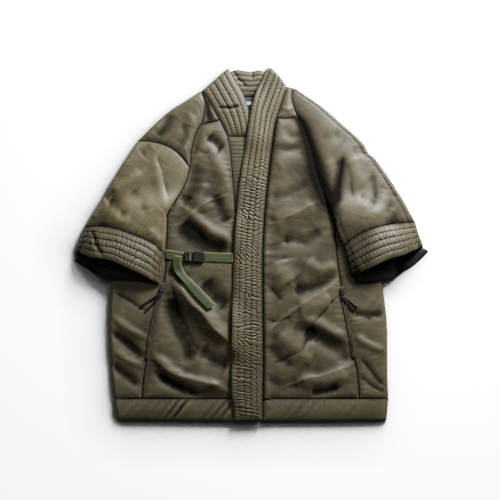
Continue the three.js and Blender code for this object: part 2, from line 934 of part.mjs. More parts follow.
// Back of the collar, stitched to the neck seam and quilted along it; it shows its inner face
function addNeckStand() {
  const south = stretch(seam.neckSeam, NECK_STAND.from, NECK_STAND.to);
  clothPiece(
    "neck_stand",
    {
      south,
      north: seam.neckTop,
      west: straight(south.at(0), seam.neckTop.at(0)),
      east: straight(south.at(1), seam.neckTop.at(1)),
    },
    {
      sides: { west: "hem", east: "hem", south: "seam", north: "hem" },
      columns: 10,
      baseColumns: 6,
      baseRows: 2,
      relief: (u, v) => channelHeight(v, STAND_CHANNELS),
      lines: { v: channelLines(STAND_CHANNELS) },
    },
  );
}

function addLabel() {
  const { left, right, bottom, top, thick } = LABEL;
  clothPiece("neck_label", boxPlan(left, right, bottom, top), {
    on: ["back_panel"],
    sides: { west: "hem", east: "hem", south: "hem", north: "hem" },
    baseColumns: 4,
    baseRows: 3,
    wall: thick,
    seamWall: thick,
    relief: () => 0,
    lines: { u: evenLines(4), v: evenLines(3) },
    colour: COLOUR.label,
  });
}

const boxPlan = (left, right, bottom, top) => ({
  south: straight({ x: left, y: bottom }, { x: right, y: bottom }),
  north: straight({ x: left, y: top }, { x: right, y: top }),
  west: straight({ x: left, y: bottom }, { x: left, y: top }),
  east: straight({ x: right, y: bottom }, { x: right, y: top }),
});

// Front of the body: yoke, front, side panel folded round the back's edge, and hem band
const ALL_SEAMS = { west: "seam", east: "seam", south: "seam", north: "seam" };

function addRightFront() {
  const { rightArmhole, rightCollarOuter } = seam;
  const armholeAtYoke = shareAtY(rightArmhole, YOKE.armhole);
  const armholeTop = shareAtY(rightArmhole, YOKE.shoulder);
  const collarAtYoke = shareAtY(rightCollarOuter, YOKE.collar);
  const collarTop = shareAtY(rightCollarOuter, YOKE.collarShoulder);
  const yokeArmhole = stretch(rightArmhole, armholeAtYoke, armholeTop);
  const yokeCollar = stretch(rightCollarOuter, collarAtYoke, collarTop);
  clothPiece(
    "yoke_right",
    {
      south: seam.rightYokeSeam,
      north: straight(yokeArmhole.at(1), yokeCollar.at(1)),
      west: yokeArmhole,
      east: yokeCollar,
    },
    { on: ["back_panel"], sides: ALL_SEAMS, columns: 2, rows: 5, baseColumns: 1, baseRows: 4 },
  );
  clothPiece(
    "front_right",
    {
      south: acrossHem(hemSeam, HEM_SEAM.rightPocket, HEM_SEAM.rightBand),
      north: seam.rightYokeSeam,
      west: reversed(
        joined(
          stretch(rightArmhole, armholeAtYoke, 1),
          seam.rightUnderarm,
          seam.rightPocketSeam,
        ),
      ),
      east: reversed(
        joined(
          stretch(rightCollarOuter, collarAtYoke, 1),
          toY(seam.rightBandOuter, HEM_SEAM.y),
        ),
      ),
    },
    { on: ["back_panel"], sides: ALL_SEAMS, columns: 7, rows: 32, baseColumns: 3, sameBase: "v" },
  );
  const side = joined(stretch(seam.rightHiddenSide, SIDE_TOP.hidden, 1), seam.rightSide);
  const pocket = stretch(seam.rightPocketSeam, SIDE_TOP.pocket, 1);
  clothPiece(
    "side_right",
    {
      south: acrossHem(hemSeam, HEM_SEAM.right, HEM_SEAM.rightPocket),
      north: straight(side.at(0), pocket.at(0)),
      west: reversed(side),
      east: reversed(pocket),
    },
    {
      on: ["back_panel"],
      sides: { west: "turn", east: "seam", south: "seam", north: "hem" },
      columns: 3,
      rows: 16,
      baseColumns: 2,
      sameBase: "v",
    },
  );
  addHemBand("hem_band_right", HEM_SEAM.right, HEM_SEAM.rightBand, "turn", "seam");
}

function addHemBand(name, fromX, toX, west, east) {
  const top = acrossHem(hemSeam, fromX, toX);
  const bottom = acrossHem(hem, Math.max(fromX, HEM_EDGE.right), Math.min(toX, HEM_EDGE.left));
  clothPiece(
    name,
    {
      south: bottom,
      north: top,
      west: straight(bottom.at(0), top.at(0)),
      east: straight(bottom.at(1), top.at(1)),
    },
    {
      on: ["back_hem_band", "back_panel"],
      sides: { west, east, south: "hem", north: "seam" },
      columns: 22,
      rows: 2,
      baseColumns: 10,
      baseRows: 1,
      relief: (u, v, x, y) => foldHeight(x, y) + slantedPleats(x, y),
    },
  );
}

// The hem band is drawn in by its stitching into slanted pleats
const slantedPleats = (x, y) =>
  HEM_PLEAT.height * Math.sin((2 * Math.PI * (x - HEM_PLEAT.slant * y)) / HEM_PLEAT.pitch);

// Right-hand collar strip, quilted down to the chest, and its plain lower length under the band
function addRightStrip() {
  const { rightCollarOuter, rightCollarInner, rightBandOuter, rightBandInner } = seam;
  clothPiece(
    "collar_right",
    {
      south: straight(rightCollarOuter.at(1), rightCollarInner.at(1)),
      north: straight(rightCollarOuter.at(0), rightCollarInner.at(0)),
      west: reversed(rightCollarOuter),
      east: reversed(rightCollarInner),
    },
    {
      on: ["back_panel", "neck_stand", "neck_label"],
      sides: { west: "seam", east: "hem", south: "seam", north: "turn" },
      rows: 11,
      baseColumns: 4,
      baseRows: 8,
      relief: (u) => channelHeight(u, STRIP_CHANNELS),
      lines: { u: channelLines(STRIP_CHANNELS) },
    },
  );
  clothPiece(
    "band_right",
    {
      south: straight(rightBandOuter.at(1), rightBandInner.at(1)),
      north: straight(rightBandOuter.at(0), rightBandInner.at(0)),
      west: reversed(rightBandOuter),
      east: reversed(rightBandInner),
    },
    {
      on: ["back_panel", "back_hem_band"],
      sides: { west: "seam", east: "hem", south: "hem", north: "seam" },
      columns: 2,
      rows: 30,
      baseRows: 14,
      wall: UNDER_BAND_WALL,
    },
  );
}

function addLeftFront() {
  const { leftYokeSeam, leftCollarOuter, leftArmholeUpper, leftBandOuter } = seam;
  clothPiece(
    "yoke_left",
    {
      south: leftYokeSeam,
      north: straight(leftCollarOuter.at(0), leftArmholeUpper.at(0)),
      west: reversed(leftCollarOuter),
      east: reversed(leftArmholeUpper),
    },
    { on: ["back_panel"], sides: ALL_SEAMS, columns: 2, rows: 5, baseRows: 4 },
  );
  clothPiece(
    "front_left",
    {
      south: acrossHem(hemSeam, HEM_SEAM.leftBand, HEM_SEAM.leftPocket),
      north: leftYokeSeam,
      west: reversed(toY(leftBandOuter, HEM_SEAM.y)),
      east: reversed(joined(seam.leftArmhole, seam.leftPocketSeam)),
    },
    {
      on: ["back_panel", "band_right"],
      sides: ALL_SEAMS,
      columns: 7,
      rows: 32,
      baseColumns: 4,
      sameBase: "v",
    },
  );
  const side = joined(stretch(seam.leftHiddenSide, SIDE_TOP.hidden, 1), seam.leftSide);
  const pocket = stretch(seam.leftPocketSeam, SIDE_TOP.pocket, 1);
  clothPiece(
    "side_left",
    {
      south: acrossHem(hemSeam, HEM_SEAM.leftPocket, HEM_SEAM.left),
      north: straight(pocket.at(0), side.at(0)),
      west: reversed(pocket),
      east: reversed(side),
    },
    {
      on: ["back_panel"],
      sides: { west: "seam", east: "turn", south: "seam", north: "hem" },
      columns: 3,
      rows: 16,
      baseColumns: 2,
      sameBase: "v",
    },
  );
  addHemBand("hem_band_left", HEM_SEAM.leftBand, HEM_SEAM.left, "seam", "turn");
}

// Left-hand band: five channels from the nape to the hem, over the right front's edge
function addLeftBand() {
  const outer = joined(seam.leftCollarOuter, seam.leftBandOuter);
  clothPiece(
    "band_left",
    {
      south: straight(seam.leftBandInner.at(1), outer.at(1)),
      north: seam.leftCollarTop,
      west: reversed(seam.leftBandInner),
      east: reversed(outer),
    },
    {
      on: [
        "back_panel", "back_hem_band", "neck_stand", "neck_label",
        "collar_right", "band_right", "front_right", "hem_band_right",
      ],
      sides: { west: "hem", east: "seam", south: "hem", north: "turn" },
      rows: 32,
      baseColumns: 3,
      sameBase: "v",
      relief: (u) => channelHeight(u, BAND_CHANNELS),
      lines: { u: channelLines(BAND_CHANNELS) },
    },
  );
}

// Sleeves: a back layer on the surface, a front layer over it that folds round both its edges, and
// a quilted cuff whose front stands open
const SLEEVE_WIDTH = { right: 170, left: 150 };
const SLEEVE_COLUMNS = 8;
const sleeveLines = (width) => stations(width, SLEEVE_COLUMNS, EDGE_LINES.turn, EDGE_LINES.turn);
const RIGHT_SLEEVE_LINES = sleeveLines(SLEEVE_WIDTH.right);
const LEFT_SLEEVE_LINES = sleeveLines(SLEEVE_WIDTH.left);
const sleeveLift = (u, v) => SLEEVE_LIFT * Math.sin(Math.PI * u) * smooth(1 - v);
const cuffLift = (u, v) =>
  mix(CUFF_MOUTH, SLEEVE_LIFT, v) * Math.sin(Math.PI * u) ** CUFF_MOUTH_ROUND;

function addCuff(side, plan, turnOn, across) {
  clothPiece(`cuff_${side}_back`, plan.back, {
    on: [`side_${side}`],
    sides: { west: "hem", east: "hem", south: "hem", north: "loose" },
    columns: 10,
    baseColumns: 8,
    baseRows: 4,
    relief: (u, v) => CUFF_BACK_QUILT * channelHeight(v, CUFF_CHANNELS),
    lines: { v: channelLines(CUFF_CHANNELS) },
    colour: COLOUR.inside,
  });
  clothPiece(`cuff_${side}_front`, plan.front, {
    on: [`cuff_${side}_back`],
    turnOn,
    sides: { west: "turn", east: "turn", south: "hem", north: "seam" },
    baseRows: 4,
    sameBase: "u",
    lift: cuffLift,
    relief: (u, v) => channelHeight(v, CUFF_CHANNELS),
    lines: { u: across, v: channelLines(CUFF_CHANNELS) },
  });
}

function addRightSleeve() {
  const outer = joined(seam.rightShoulder, seam.rightElbowOuter);
  const inner = joined(seam.rightArmhole, seam.rightUnderarm, seam.rightSleeveFold);
  const backOuter = reversed(stretch(outer, SLEEVE_BACK_TOP.outer, 1));
  const backInner = reversed(stretch(inner, SLEEVE_BACK_TOP.inner, 1));
  clothPiece(
    "sleeve_right_back",
    {
      south: seam.rightCuffSeam,
      north: straight(backOuter.at(1), backInner.at(1)),
      west: backOuter,
      east: backInner,
    },
    {
      on: ["side_right"],
      sides: {
        west: "tuck",
        east: sideKind(backInner, seam.rightSleeveFold.length + SLEEVE_FOLD_MARGIN, "loose", "tuck"),
        south: "seam",
        north: "hem",
      },
      columns: 4,
      rows: 16,
      baseRows: 14,
      relief: () => 0,
    },
  );
  clothPiece(
    "sleeve_right_shoulder",
    {
      south: seam.rightElbowSeam,
      north: straight(seam.rightShoulder.at(0), seam.rightArmhole.at(0)),
      west: reversed(seam.rightShoulder),
      east: reversed(seam.rightArmhole),
    },
    {
      on: ["sleeve_right_back"],
      sides: { west: "turn", east: "seam", south: "seam", north: "seam" },
      rows: 9,
      sameBase: "uv",
      lines: { u: RIGHT_SLEEVE_LINES },
    },
  );
  const elbowInner = reversed(joined(seam.rightUnderarm, seam.rightSleeveFold));
  clothPiece(
    "sleeve_right_elbow",
    {
      south: seam.rightCuffSeam,
      north: seam.rightElbowSeam,
      west: reversed(seam.rightElbowOuter),
      east: elbowInner,
    },
    {
      on: ["sleeve_right_back"],
      turnOn: ["side_right", "front_right"],
      sides: {
        west: "turn",
        east: sideKind(elbowInner, seam.rightSleeveFold.length, "seam", "turn"),
        south: "seam",
        north: "seam",
      },
      rows: 13,
      sameBase: "uv",
      lift: sleeveLift,
      lines: { u: RIGHT_SLEEVE_LINES },
      colour: COLOUR.elbow,
    },
  );
  addCuff(
    "right",
    {
      back: {
        south: seam.rightCuffBackHem,
        north: seam.rightCuffBackSeam,
        west: reversed(seam.rightCuffBackOuter),
        east: reversed(seam.rightCuffBackInner),
      },
      front: {
        south: seam.rightCuffHem,
        north: seam.rightCuffSeam,
        west: reversed(seam.rightCuffOuter),
        east: reversed(seam.rightCuffInner),
      },
    },
    ["side_right", "front_right"],
    RIGHT_SLEEVE_LINES,
  );
}

function addLeftSleeve() {
  const inner = joined(seam.leftArmholeUpper, seam.leftArmhole, seam.leftSleeveFold);
  const backInner = reversed(stretch(inner, SLEEVE_BACK_TOP.inner, 1));
  const backOuter = reversed(stretch(seam.leftSleeveOuter, SLEEVE_BACK_TOP.outer, 1));
  clothPiece(
    "sleeve_left_back",
    {
      south: seam.leftCuffSeam,
      north: straight(backInner.at(1), backOuter.at(1)),
      west: backInner,
      east: backOuter,
    },
    {
      on: ["side_left"],
      sides: {
        west: sideKind(backInner, seam.leftSleeveFold.length + SLEEVE_FOLD_MARGIN, "loose", "tuck"),
        east: "tuck",
        south: "seam",
        north: "hem",
      },
      columns: 4,
      rows: 16,
      baseRows: 14,
      relief: () => 0,
    },
  );
  const frontInner = reversed(inner);
  clothPiece(
    "sleeve_left_front",
    {
      south: seam.leftCuffSeam,
      north: straight(inner.at(0), seam.leftSleeveOuter.at(0)),
      west: frontInner,
      east: reversed(seam.leftSleeveOuter),
    },
    {
      on: ["sleeve_left_back"],
      turnOn: ["side_left", "front_left"],
      sides: {
        west: sideKind(frontInner, seam.leftSleeveFold.length, "seam", "turn"),
        east: "turn",
        south: "seam",
        north: "seam",
      },
      rows: 19,
      baseColumns: 5,
      sameBase: "v",
      lift: sleeveLift,
      lines: { u: LEFT_SLEEVE_LINES },
    },
  );
  addCuff(
    "left",
    {
      back: {
        south: seam.leftCuffBackHem,
        north: seam.leftCuffBackSeam,
        west: reversed(seam.leftCuffBackInner),
        east: reversed(seam.leftCuffBackOuter),
      },
      front: {
        south: seam.leftCuffHem,
        north: seam.leftCuffSeam,
        west: reversed(seam.leftCuffInner),
        east: reversed(seam.leftCuffOuter),
      },
    },
    ["side_left", "front_left"],
    LEFT_SLEEVE_LINES,
  );
}

// Belt: webbing sewn into the right pocket seam and under the left band, joined by a buckle
const WEBBING_SIDES = { west: "hem", east: "hem", south: "hem", north: "hem" };
const STRAP_DRAPE = { near: 2, blur: 1 };
const ZIP_DRAPE = { near: 1, blur: 0 };

function webbingPiece(name, plan, on, columns, rows) {
  clothPiece(name, plan, {
    on,
    drape: STRAP_DRAPE,
    sides: WEBBING_SIDES,
    baseColumns: columns,
    baseRows: rows,
    wall: WEBBING_THICK,
    seamWall: WEBBING_THICK,
    relief: () => 0,
    lines: { u: evenLines(columns), v: evenLines(rows) },
    colour: COLOUR.webbing,
  });
}

function strapPlan(from, to) {
  const half = WEBBING / 2;
  return {
    south: straight({ x: from.x, y: from.y - half }, { x: to.x, y: to.y - half }),
    north: straight({ x: from.x, y: from.y + half }, { x: to.x, y: to.y + half }),
    west: straight({ x: from.x, y: from.y - half }, { x: from.x, y: from.y + half }),
    east: straight({ x: to.x, y: to.y - half }, { x: to.x, y: to.y + half }),
  };
}

function addBelt() {
  const right = BUCKLE.x - BUCKLE.length / 2 - LAYER_GAP;
  const left = BUCKLE.x + BUCKLE.length / 2 + LAYER_GAP;
  webbingPiece(
    "belt_strap_right",
    strapPlan({ x: STRAP.seamX, y: STRAP.seamY }, { x: right, y: BELT_Y }),
    ["front_right"],
    5,
    2,
  );
  webbingPiece(
    "belt_strap_left",
    strapPlan({ x: left, y: BELT_Y }, { x: STRAP.bandX, y: STRAP.bandY }),
    ["front_right"],
    8,
    2,
  );
  const tailLeft = reversed(edge(TAIL.left));
  const tailRight = reversed(edge(TAIL.right));
  webbingPiece(
    "belt_tail",
    {
      south: straight(tailLeft.at(0), tailRight.at(0)),
      north: straight(tailLeft.at(1), tailRight.at(1)),
      west: tailLeft,
      east: tailRight,
    },
    ["front_right", "belt_strap_right"],
    2,
    20,
  );
  addBuckle();
}

// Highest cloth under a rectangle that is turned in plan.
function restingHeight(names, centre, length, width, angle) {
  const surface = drapeOver(names, ZIP_DRAPE.near, ZIP_DRAPE.blur);
  const steps = 6;
  let highest = 0;
  for (let i = 0; i <= steps; i++) {
    for (let j = 0; j <= steps; j++) {
      const along = (i / steps - 0.5) * length;
      const across = (j / steps - 0.5) * width;
      const x = centre.x + along * Math.cos(angle) - across * Math.sin(angle);
      const y = centre.y + along * Math.sin(angle) + across * Math.cos(angle);
      highest = Math.max(highest, surface(x, y));
    }
  }
  return highest;
}

function roundedPlate(length, width, height, corner, bevel) {
  const shape = new THREE.Shape();
  const x = length / 2 - bevel;
  const y = width / 2 - bevel;
  const r = corner - bevel;
  shape.absarc(x - r, y - r, r, 0, Math.PI / 2);
  shape.absarc(-x + r, y - r, r, Math.PI / 2, Math.PI);
  shape.absarc(-x + r, -y + r, r, Math.PI, 1.5 * Math.PI);
  shape.absarc(x - r, -y + r, r, 1.5 * Math.PI, 2 * Math.PI);
  return new THREE.ExtrudeGeometry(shape, {
    depth: height - 2 * bevel,
    bevelThickness: bevel,
    bevelSize: bevel,
    bevelSegments: 1,
    curveSegments: 3,
  }).translate(0, 0, bevel);
}

// Side-release buckle: the socket holds the left strap, the plug with its slide bar the right one
function addBuckle() {
  const { length, width, height, socket, corner, bevel, x } = BUCKLE;
  const plug = length - socket - LAYER_GAP;
  const z = restingHeight(["front_right"], { x, y: BELT_Y }, length, width, 0);
  const socketMesh = addMesh(
    "buckle_socket",
    roundedPlate(socket, width, height, corner, bevel),
    COLOUR.buckle,
    FINISH.plastic,
  );
  socketMesh.position.set(x + (length - socket) / 2, BELT_Y, z);
  const plugMesh = addMesh(
    "buckle_plug",
    roundedPlate(plug, PLUG.width, PLUG.height, PLUG.corner, bevel),
    COLOUR.buckle,
    FINISH.plastic,
  );
  plugMesh.position.set(x - (length - plug) / 2, BELT_Y, z);
}

// An edge moved sideways in plan by a distance, to the left of its run.
const offsetFrom = (whole, distance) => {
  const step = 0.01;
  const at = (share) => {
    const here = whole.at(share);
    const before = whole.at(Math.max(0, share - step));
    const after = whole.at(Math.min(1, share + step));
    const length = Math.hypot(after.x - before.x, after.y - before.y);
    const x = here.x - ((after.y - before.y) / length) * distance;
    const y = here.y + ((after.x - before.x) / length) * distance;
    return new THREE.Vector3(x, y, 0);
  };
  return { length: whole.length, at };
};

// Pocket zips: a closed row of teeth on its tape along each pocket seam, a slider at the top and a
// pull that hinges on the slider, with two round pullers
const ZIP_LINES = { u: evenLines(2), v: evenLines(22) };
const ALONG_SLIDER = 0.02;

function addZip({ side, top, bottom, slider, tips }) {
  const pocket = seam[`${side}PocketSeam`];
  const line = stretch(pocket, shareAtY(pocket, bottom), shareAtY(pocket, top));
  const west = offsetFrom(line, ZIP_TAPE.width / 2);
  const east = offsetFrom(line, -ZIP_TAPE.width / 2);
  const panels = [`front_${side}`, `side_${side}`];
  clothPiece(
    `zip_${side}`,
    {
      south: straight(west.at(0), east.at(0)),
      north: straight(west.at(1), east.at(1)),
      west,
      east,
    },
    {
      on: panels,
      drape: ZIP_DRAPE,
      sides: WEBBING_SIDES,
      wall: ZIP_TAPE.thick,
      seamWall: ZIP_TAPE.thick,
      relief: () => 0,
      lines: ZIP_LINES,
      sameBase: "uv",
      colour: COLOUR.buckle,
    },
  );
  const share = shareAtY(pocket, slider);
  const here = pocket.at(share);
  const below = pocket.at(share + ALONG_SLIDER);
  const angle = Math.atan2(below.y - here.y, below.x - here.x);
  const under = [`zip_${side}`, ...panels];
  const z = restingHeight(under, here, SLIDER.length, SLIDER.width, angle);
  const sliderMesh = addMesh(`slider_${side}`, sliderShape(), COLOUR.metal, FINISH.metal);
  sliderMesh.position.set(here.x, here.y, z);
  sliderMesh.rotation.z = angle;
  const hinge = { x: here.x, y: here.y, z: z + SLIDER.height - SLIDER.channel / 2 };
  addPull(side, hinge, angle, tips, drapeOver(under, ZIP_DRAPE.near, ZIP_DRAPE.blur));
}

// Slider body: its profile across the zip has a channel in the top, where the pull's eye turns
function sliderShape() {
  const half = SLIDER.width / 2;
  const lug = (PULL_LINK.width + 2 * SLIDER.play) / 2;
  const profile = new THREE.Shape();
  profile.moveTo(-half, 0);
  profile.lineTo(half, 0);
  profile.lineTo(half, SLIDER.height - SLIDER.drop);
  profile.lineTo(half - SLIDER.chamfer, SLIDER.height);
  profile.lineTo(lug, SLIDER.height);
  profile.lineTo(lug, SLIDER.height - SLIDER.channel);
  profile.lineTo(-lug, SLIDER.height - SLIDER.channel);
  profile.lineTo(-lug, SLIDER.height);
  profile.lineTo(-half + SLIDER.chamfer, SLIDER.height);
  profile.lineTo(-half, SLIDER.height - SLIDER.drop);
  profile.closePath();
  const body = new THREE.ExtrudeGeometry(profile, { depth: SLIDER.length, bevelEnabled: false });
  body.translate(0, 0, -SLIDER.length / 2);
  body.rotateX(Math.PI / 2);
  return body.rotateZ(Math.PI / 2);
}

// The pull lies at rest with its tips on the cloth. Its own frame has X along the zip and the
// hinge at the origin, and slopes down to where the pullers just clear the cloth.
function addPull(side, hinge, angle, tips, surface) {
  const clear = PULLER.radius + LAYER_GAP;
  const root = PULL_LINK.length + clear;
  const steps = 12;
  let slope = -1;
  const reach = (tip) => {
    const dx = tip.x - hinge.x;
    const dy = tip.y - hinge.y;
    return {
      along: dx * Math.cos(angle) + dy * Math.sin(angle),
      across: -dx * Math.sin(angle) + dy * Math.cos(angle),
    };
  };
  const ends = tips.map(reach).sort((a, b) => b.across - a.across);
  const lines = ends.map((end, n) => ({
    from: { along: root, across: n === 0 ? clear : -clear },
    to: end,
  }));
  for (const { from, to } of lines) {
    for (let n = 0; n <= steps; n++) {
      const along = mix(from.along, to.along, n / steps);
      const across = mix(from.across, to.across, n / steps);
      const x = hinge.x + along * Math.cos(angle) - across * Math.sin(angle);
      const y = hinge.y + along * Math.sin(angle) + across * Math.cos(angle);
      slope = Math.max(slope, (surface(x, y) + clear - hinge.z) / along);
    }
  }
  const frame = new THREE.Group();
  frame.position.set(hinge.x, hinge.y, hinge.z);
  frame.rotation.order = "ZYX";
  frame.rotation.set(0, -Math.atan(slope), angle);
  group.add(frame);
  const { length: linkLength, width, thick, corner, bevel } = PULL_LINK;
  const link = addMesh(
    `pull_link_${side}`,
    roundedPlate(linkLength + thick / 2, width, thick, corner, bevel),
    COLOUR.metal,
    FINISH.metal,
  );
  link.position.set((linkLength - thick / 2) / 2, 0, -thick / 2);
  frame.add(link);
  lines.forEach(({ from, to }, n) => {
    const length = Math.hypot(to.along - from.along, to.across - from.across);
    const rod = new THREE.CapsuleGeometry(PULLER.radius, length, PULLER.rings, PULLER.sides);
    const puller = addMesh(
      `puller_${side}_${n + 1}`,
      rod.rotateZ(-Math.PI / 2),
      COLOUR.buckle,
      FINISH.plastic,
    );
    puller.position.set((from.along + to.along) / 2, (from.across + to.across) / 2, 0);
    puller.rotation.z = Math.atan2(to.across - from.across, to.along - from.along);
    frame.add(puller);
  });
}

addBack();
addNeckStand();
addLabel();
addRightFront();
addRightStrip();
addLeftFront();
addLeftBand();
addRightSleeve();
addLeftSleeve();
addBelt();
ZIPS.forEach(addZip);

export default group;
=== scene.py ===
import math
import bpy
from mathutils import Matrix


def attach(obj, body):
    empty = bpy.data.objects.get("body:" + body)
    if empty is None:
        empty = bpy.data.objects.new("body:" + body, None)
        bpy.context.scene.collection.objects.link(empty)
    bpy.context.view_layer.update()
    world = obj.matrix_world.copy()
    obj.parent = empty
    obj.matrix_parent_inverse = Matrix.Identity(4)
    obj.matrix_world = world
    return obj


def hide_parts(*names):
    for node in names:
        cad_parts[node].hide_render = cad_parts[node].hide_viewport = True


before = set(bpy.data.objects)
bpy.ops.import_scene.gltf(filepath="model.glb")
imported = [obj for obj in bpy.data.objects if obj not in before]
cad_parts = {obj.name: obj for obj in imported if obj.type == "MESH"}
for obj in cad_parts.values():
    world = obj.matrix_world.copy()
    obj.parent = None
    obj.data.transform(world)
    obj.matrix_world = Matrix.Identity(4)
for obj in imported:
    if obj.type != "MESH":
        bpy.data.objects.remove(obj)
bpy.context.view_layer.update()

from types import SimpleNamespace

import bpy
import numpy as np
from mathutils import Vector

# Back panel: one padded piece from the neck seam down to the hem band, olive nylon on both sides of
# the wadding. It lies face down, so its plain inside shows in the neck, and its side edges are
# tucked into the side panels that fold round them. Sizes are in millimetres, as on the pattern.
MM = 0.001
WALL = 7.0  # thickness of a padded piece
SEAM_WALL = 3.0  # and where it is stitched down
LOFT_REACH = 10.0
FOLD_TURN = 8.0  # width over which a turned edge bends down to the layer below
TUCK = 11.0  # how far an edge that lies inside another piece stops short of it
HEM_ROUND = 3.5
CELL = 2.0  # of the table that holds how high the laid pieces reach
HALF_SIDE = 412.0
LAYER_GAP = 0.35
SEAM, LOOSE, HEM, TURN, TUCKED = range(5)
EDGE_INSET = np.array([0.3, -1.2, 0.0, 0.0, 0.0])
INSET_REACH = 40.0
SIDES = ("west", "east", "south", "north")


def edge(*rows, steps=24):
    """A seam or edge in plan: a smooth line through its turning points, as a close row of points."""
    points = np.array(rows, float)
    ends = np.vstack([2 * points[0] - points[1], points, 2 * points[-1] - points[-2]])
    t = np.linspace(0, 1, steps, endpoint=False)[:, None]
    line = []
    for a, b, c, d in zip(ends, ends[1:], ends[2:], ends[3:]):
        before, here, after = (np.linalg.norm(q - p) ** 0.5 for p, q in ((a, b), (b, c), (c, d)))
        leave = ((b - a) / before - (c - a) / (before + here) + (c - b) / here) * here
        reach = ((c - b) / here - (d - b) / (here + after) + (d - c) / after) * here
        square = -3 * b + 3 * c - 2 * leave - reach
        cube = 2 * b - 2 * c + leave + reach
        line.append(b + leave * t + square * t ** 2 + cube * t ** 3)
    return np.vstack(line + [points[-1:]])


def run_of(line):
    return np.concatenate([[0], np.cumsum(np.linalg.norm(np.diff(line, axis=0), axis=1))])


def length(line):
    return run_of(line)[-1]


def at(line, share):
    run = run_of(line)
    share = np.clip(share, 0, 1) * run[-1]
    return np.stack([np.interp(share, run, line[:, 0]), np.interp(share, run, line[:, 1])], -1)


def stretch(line, start, end):
    return at(line, np.linspace(start, end, 240))


def joined(*lines):
    return np.vstack([lines[0]] + [line[1:] for line in lines[1:]])


def back(line):
    return line[::-1]


def share_at_y(line, y):
    above = line[:, 1] > y
    first = int(np.argmax(above != above[0]))
    if first == 0:
        return 1.0
    run = run_of(line)
    part = (y - line[first - 1, 1]) / (line[first, 1] - line[first - 1, 1])
    return (run[first - 1] + part * (run[first] - run[first - 1])) / run[-1]


def from_y(line, y):
    return stretch(line, share_at_y(line, y), 1)


def to_y(line, y):
    return stretch(line, 0, share_at_y(line, y))


def panel(west=None, east=None, south=None, north=None):
    """A piece's four edges in plan, each from its lower or left end. Those left out are straight."""
    if west is None:
        west, east = edge(south[0], north[0]), edge(south[-1], north[-1])
    south = edge(west[0], east[0]) if south is None else south
    north = edge(west[-1], east[-1]) if north is None else north
    return {"west": west, "east": east, "south": south, "north": north}


def place(plan, u, v):
    """Points of a panel at shares u across it and v up it, between its four edges."""
    south, north = at(plan["south"], u), at(plan["north"], u)
    west, east = at(plan["west"], v), at(plan["east"], v)
    u, v = u[..., None], v[..., None]
    sides = south * (1 - v) + north * v + west * (1 - u) + east * u
    low = plan["south"][0] * (1 - u) + plan["south"][-1] * u
    high = plan["north"][0] * (1 - u) + plan["north"][-1] * u
    return sides - low * (1 - v) - high * v


def spans(plan, u, v):
    """How wide a panel is at shares v up it, and how tall at shares u across it."""
    return (np.linalg.norm(place(plan, 0 * v, v) - place(plan, 0 * v + 1, v), axis=-1),
            np.linalg.norm(place(plan, u, 0 * u) - place(plan, u, 0 * u + 1), axis=-1))


def signed_area(plan):
    across = plan["south"][-1] - plan["south"][0]
    up = plan["north"][0] + plan["north"][-1] - plan["south"][0] - plan["south"][-1]
    return across[0] * up[1] - across[1] * up[0]


def inward(plan, side, share):
    """Unit vector in plan that points from an edge into its panel."""
    turn = np.sign(signed_area(plan)) * (1 if side in ("south", "east") else -1)
    along = at(plan[side], share + 0.004) - at(plan[side], share - 0.004)
    along /= np.linalg.norm(along, axis=-1, keepdims=True)
    return np.stack([-along[..., 1] * turn, along[..., 0] * turn], -1)


def smooth(value):
    value = np.clip(value, 0, 1)
    return value * value * (3 - 2 * value)


SIDE_CELLS = int(2 * HALF_SIDE / CELL) + 1
laid = {}


def keep_top(name, top):
    """Stores how high a laid piece reaches at each cell of the table."""
    grid = np.zeros((SIDE_CELLS, SIDE_CELLS))
    gap = max(np.linalg.norm(np.diff(top[..., :2], axis=k), axis=-1).max() for k in (0, 1))
    count = int(min(10, math.ceil(gap / (0.7 * CELL))))
    for a in range(count):
        for b in range(count):
            s, t = a / count, b / count
            p = top[:-1, :-1] * (1 - s) * (1 - t) + top[:-1, 1:] * (1 - s) * t
            p = p + top[1:, :-1] * s * (1 - t) + top[1:, 1:] * s * t
            cells = np.rint((p[..., :2] + HALF_SIDE) / CELL).astype(int)
            np.maximum.at(grid, (cells[..., 1], cells[..., 0]), p[..., 2])
    laid[name] = grid


def shifted(grid, cells, axis):
    return [np.roll(grid, n, axis) for n in range(-cells, cells + 1)]


def drape_over(names, near=12.0, blur=10.0):
    """The surface that a piece is laid on: the tops of the named pieces, bridged softly."""
    if not names:
        return lambda x, y: np.zeros_like(x)
    soft = np.max([laid[name] for name in names], axis=0)
    reach = int(round((near + 1.6 * blur) / CELL))
    for axis in (0, 1):
        soft = np.max(shifted(soft, reach, axis), axis=0)
    for axis in (0, 1, 0, 1):
        if blur:
            soft = np.mean(shifted(soft, int(round(blur / CELL)), axis), axis=0)

    def surface(x, y):
        fx = np.clip((x + HALF_SIDE) / CELL, 0, SIDE_CELLS - 1.001)
        fy = np.clip((y + HALF_SIDE) / CELL, 0, SIDE_CELLS - 1.001)
        i, j = fx.astype(int), fy.astype(int)
        s, t = fx - i, fy - j
        z = soft[j, i] * (1 - s) * (1 - t) + soft[j, i + 1] * s * (1 - t)
        z = z + soft[j + 1, i] * (1 - s) * t + soft[j + 1, i + 1] * s * t
        return z + LAYER_GAP * np.minimum(1, z)

    return surface


def kinds_of(kind, line, share):
    """Kind of an edge all along it: one kind, or (length, kind below it, kind above it)."""
    if isinstance(kind, int):
        return np.full(share.shape, kind)
    low_length, low_kind, high_kind = kind
    return np.where(share * length(line) > low_length, high_kind, low_kind)


def no_relief(at_point):
    return 0.0


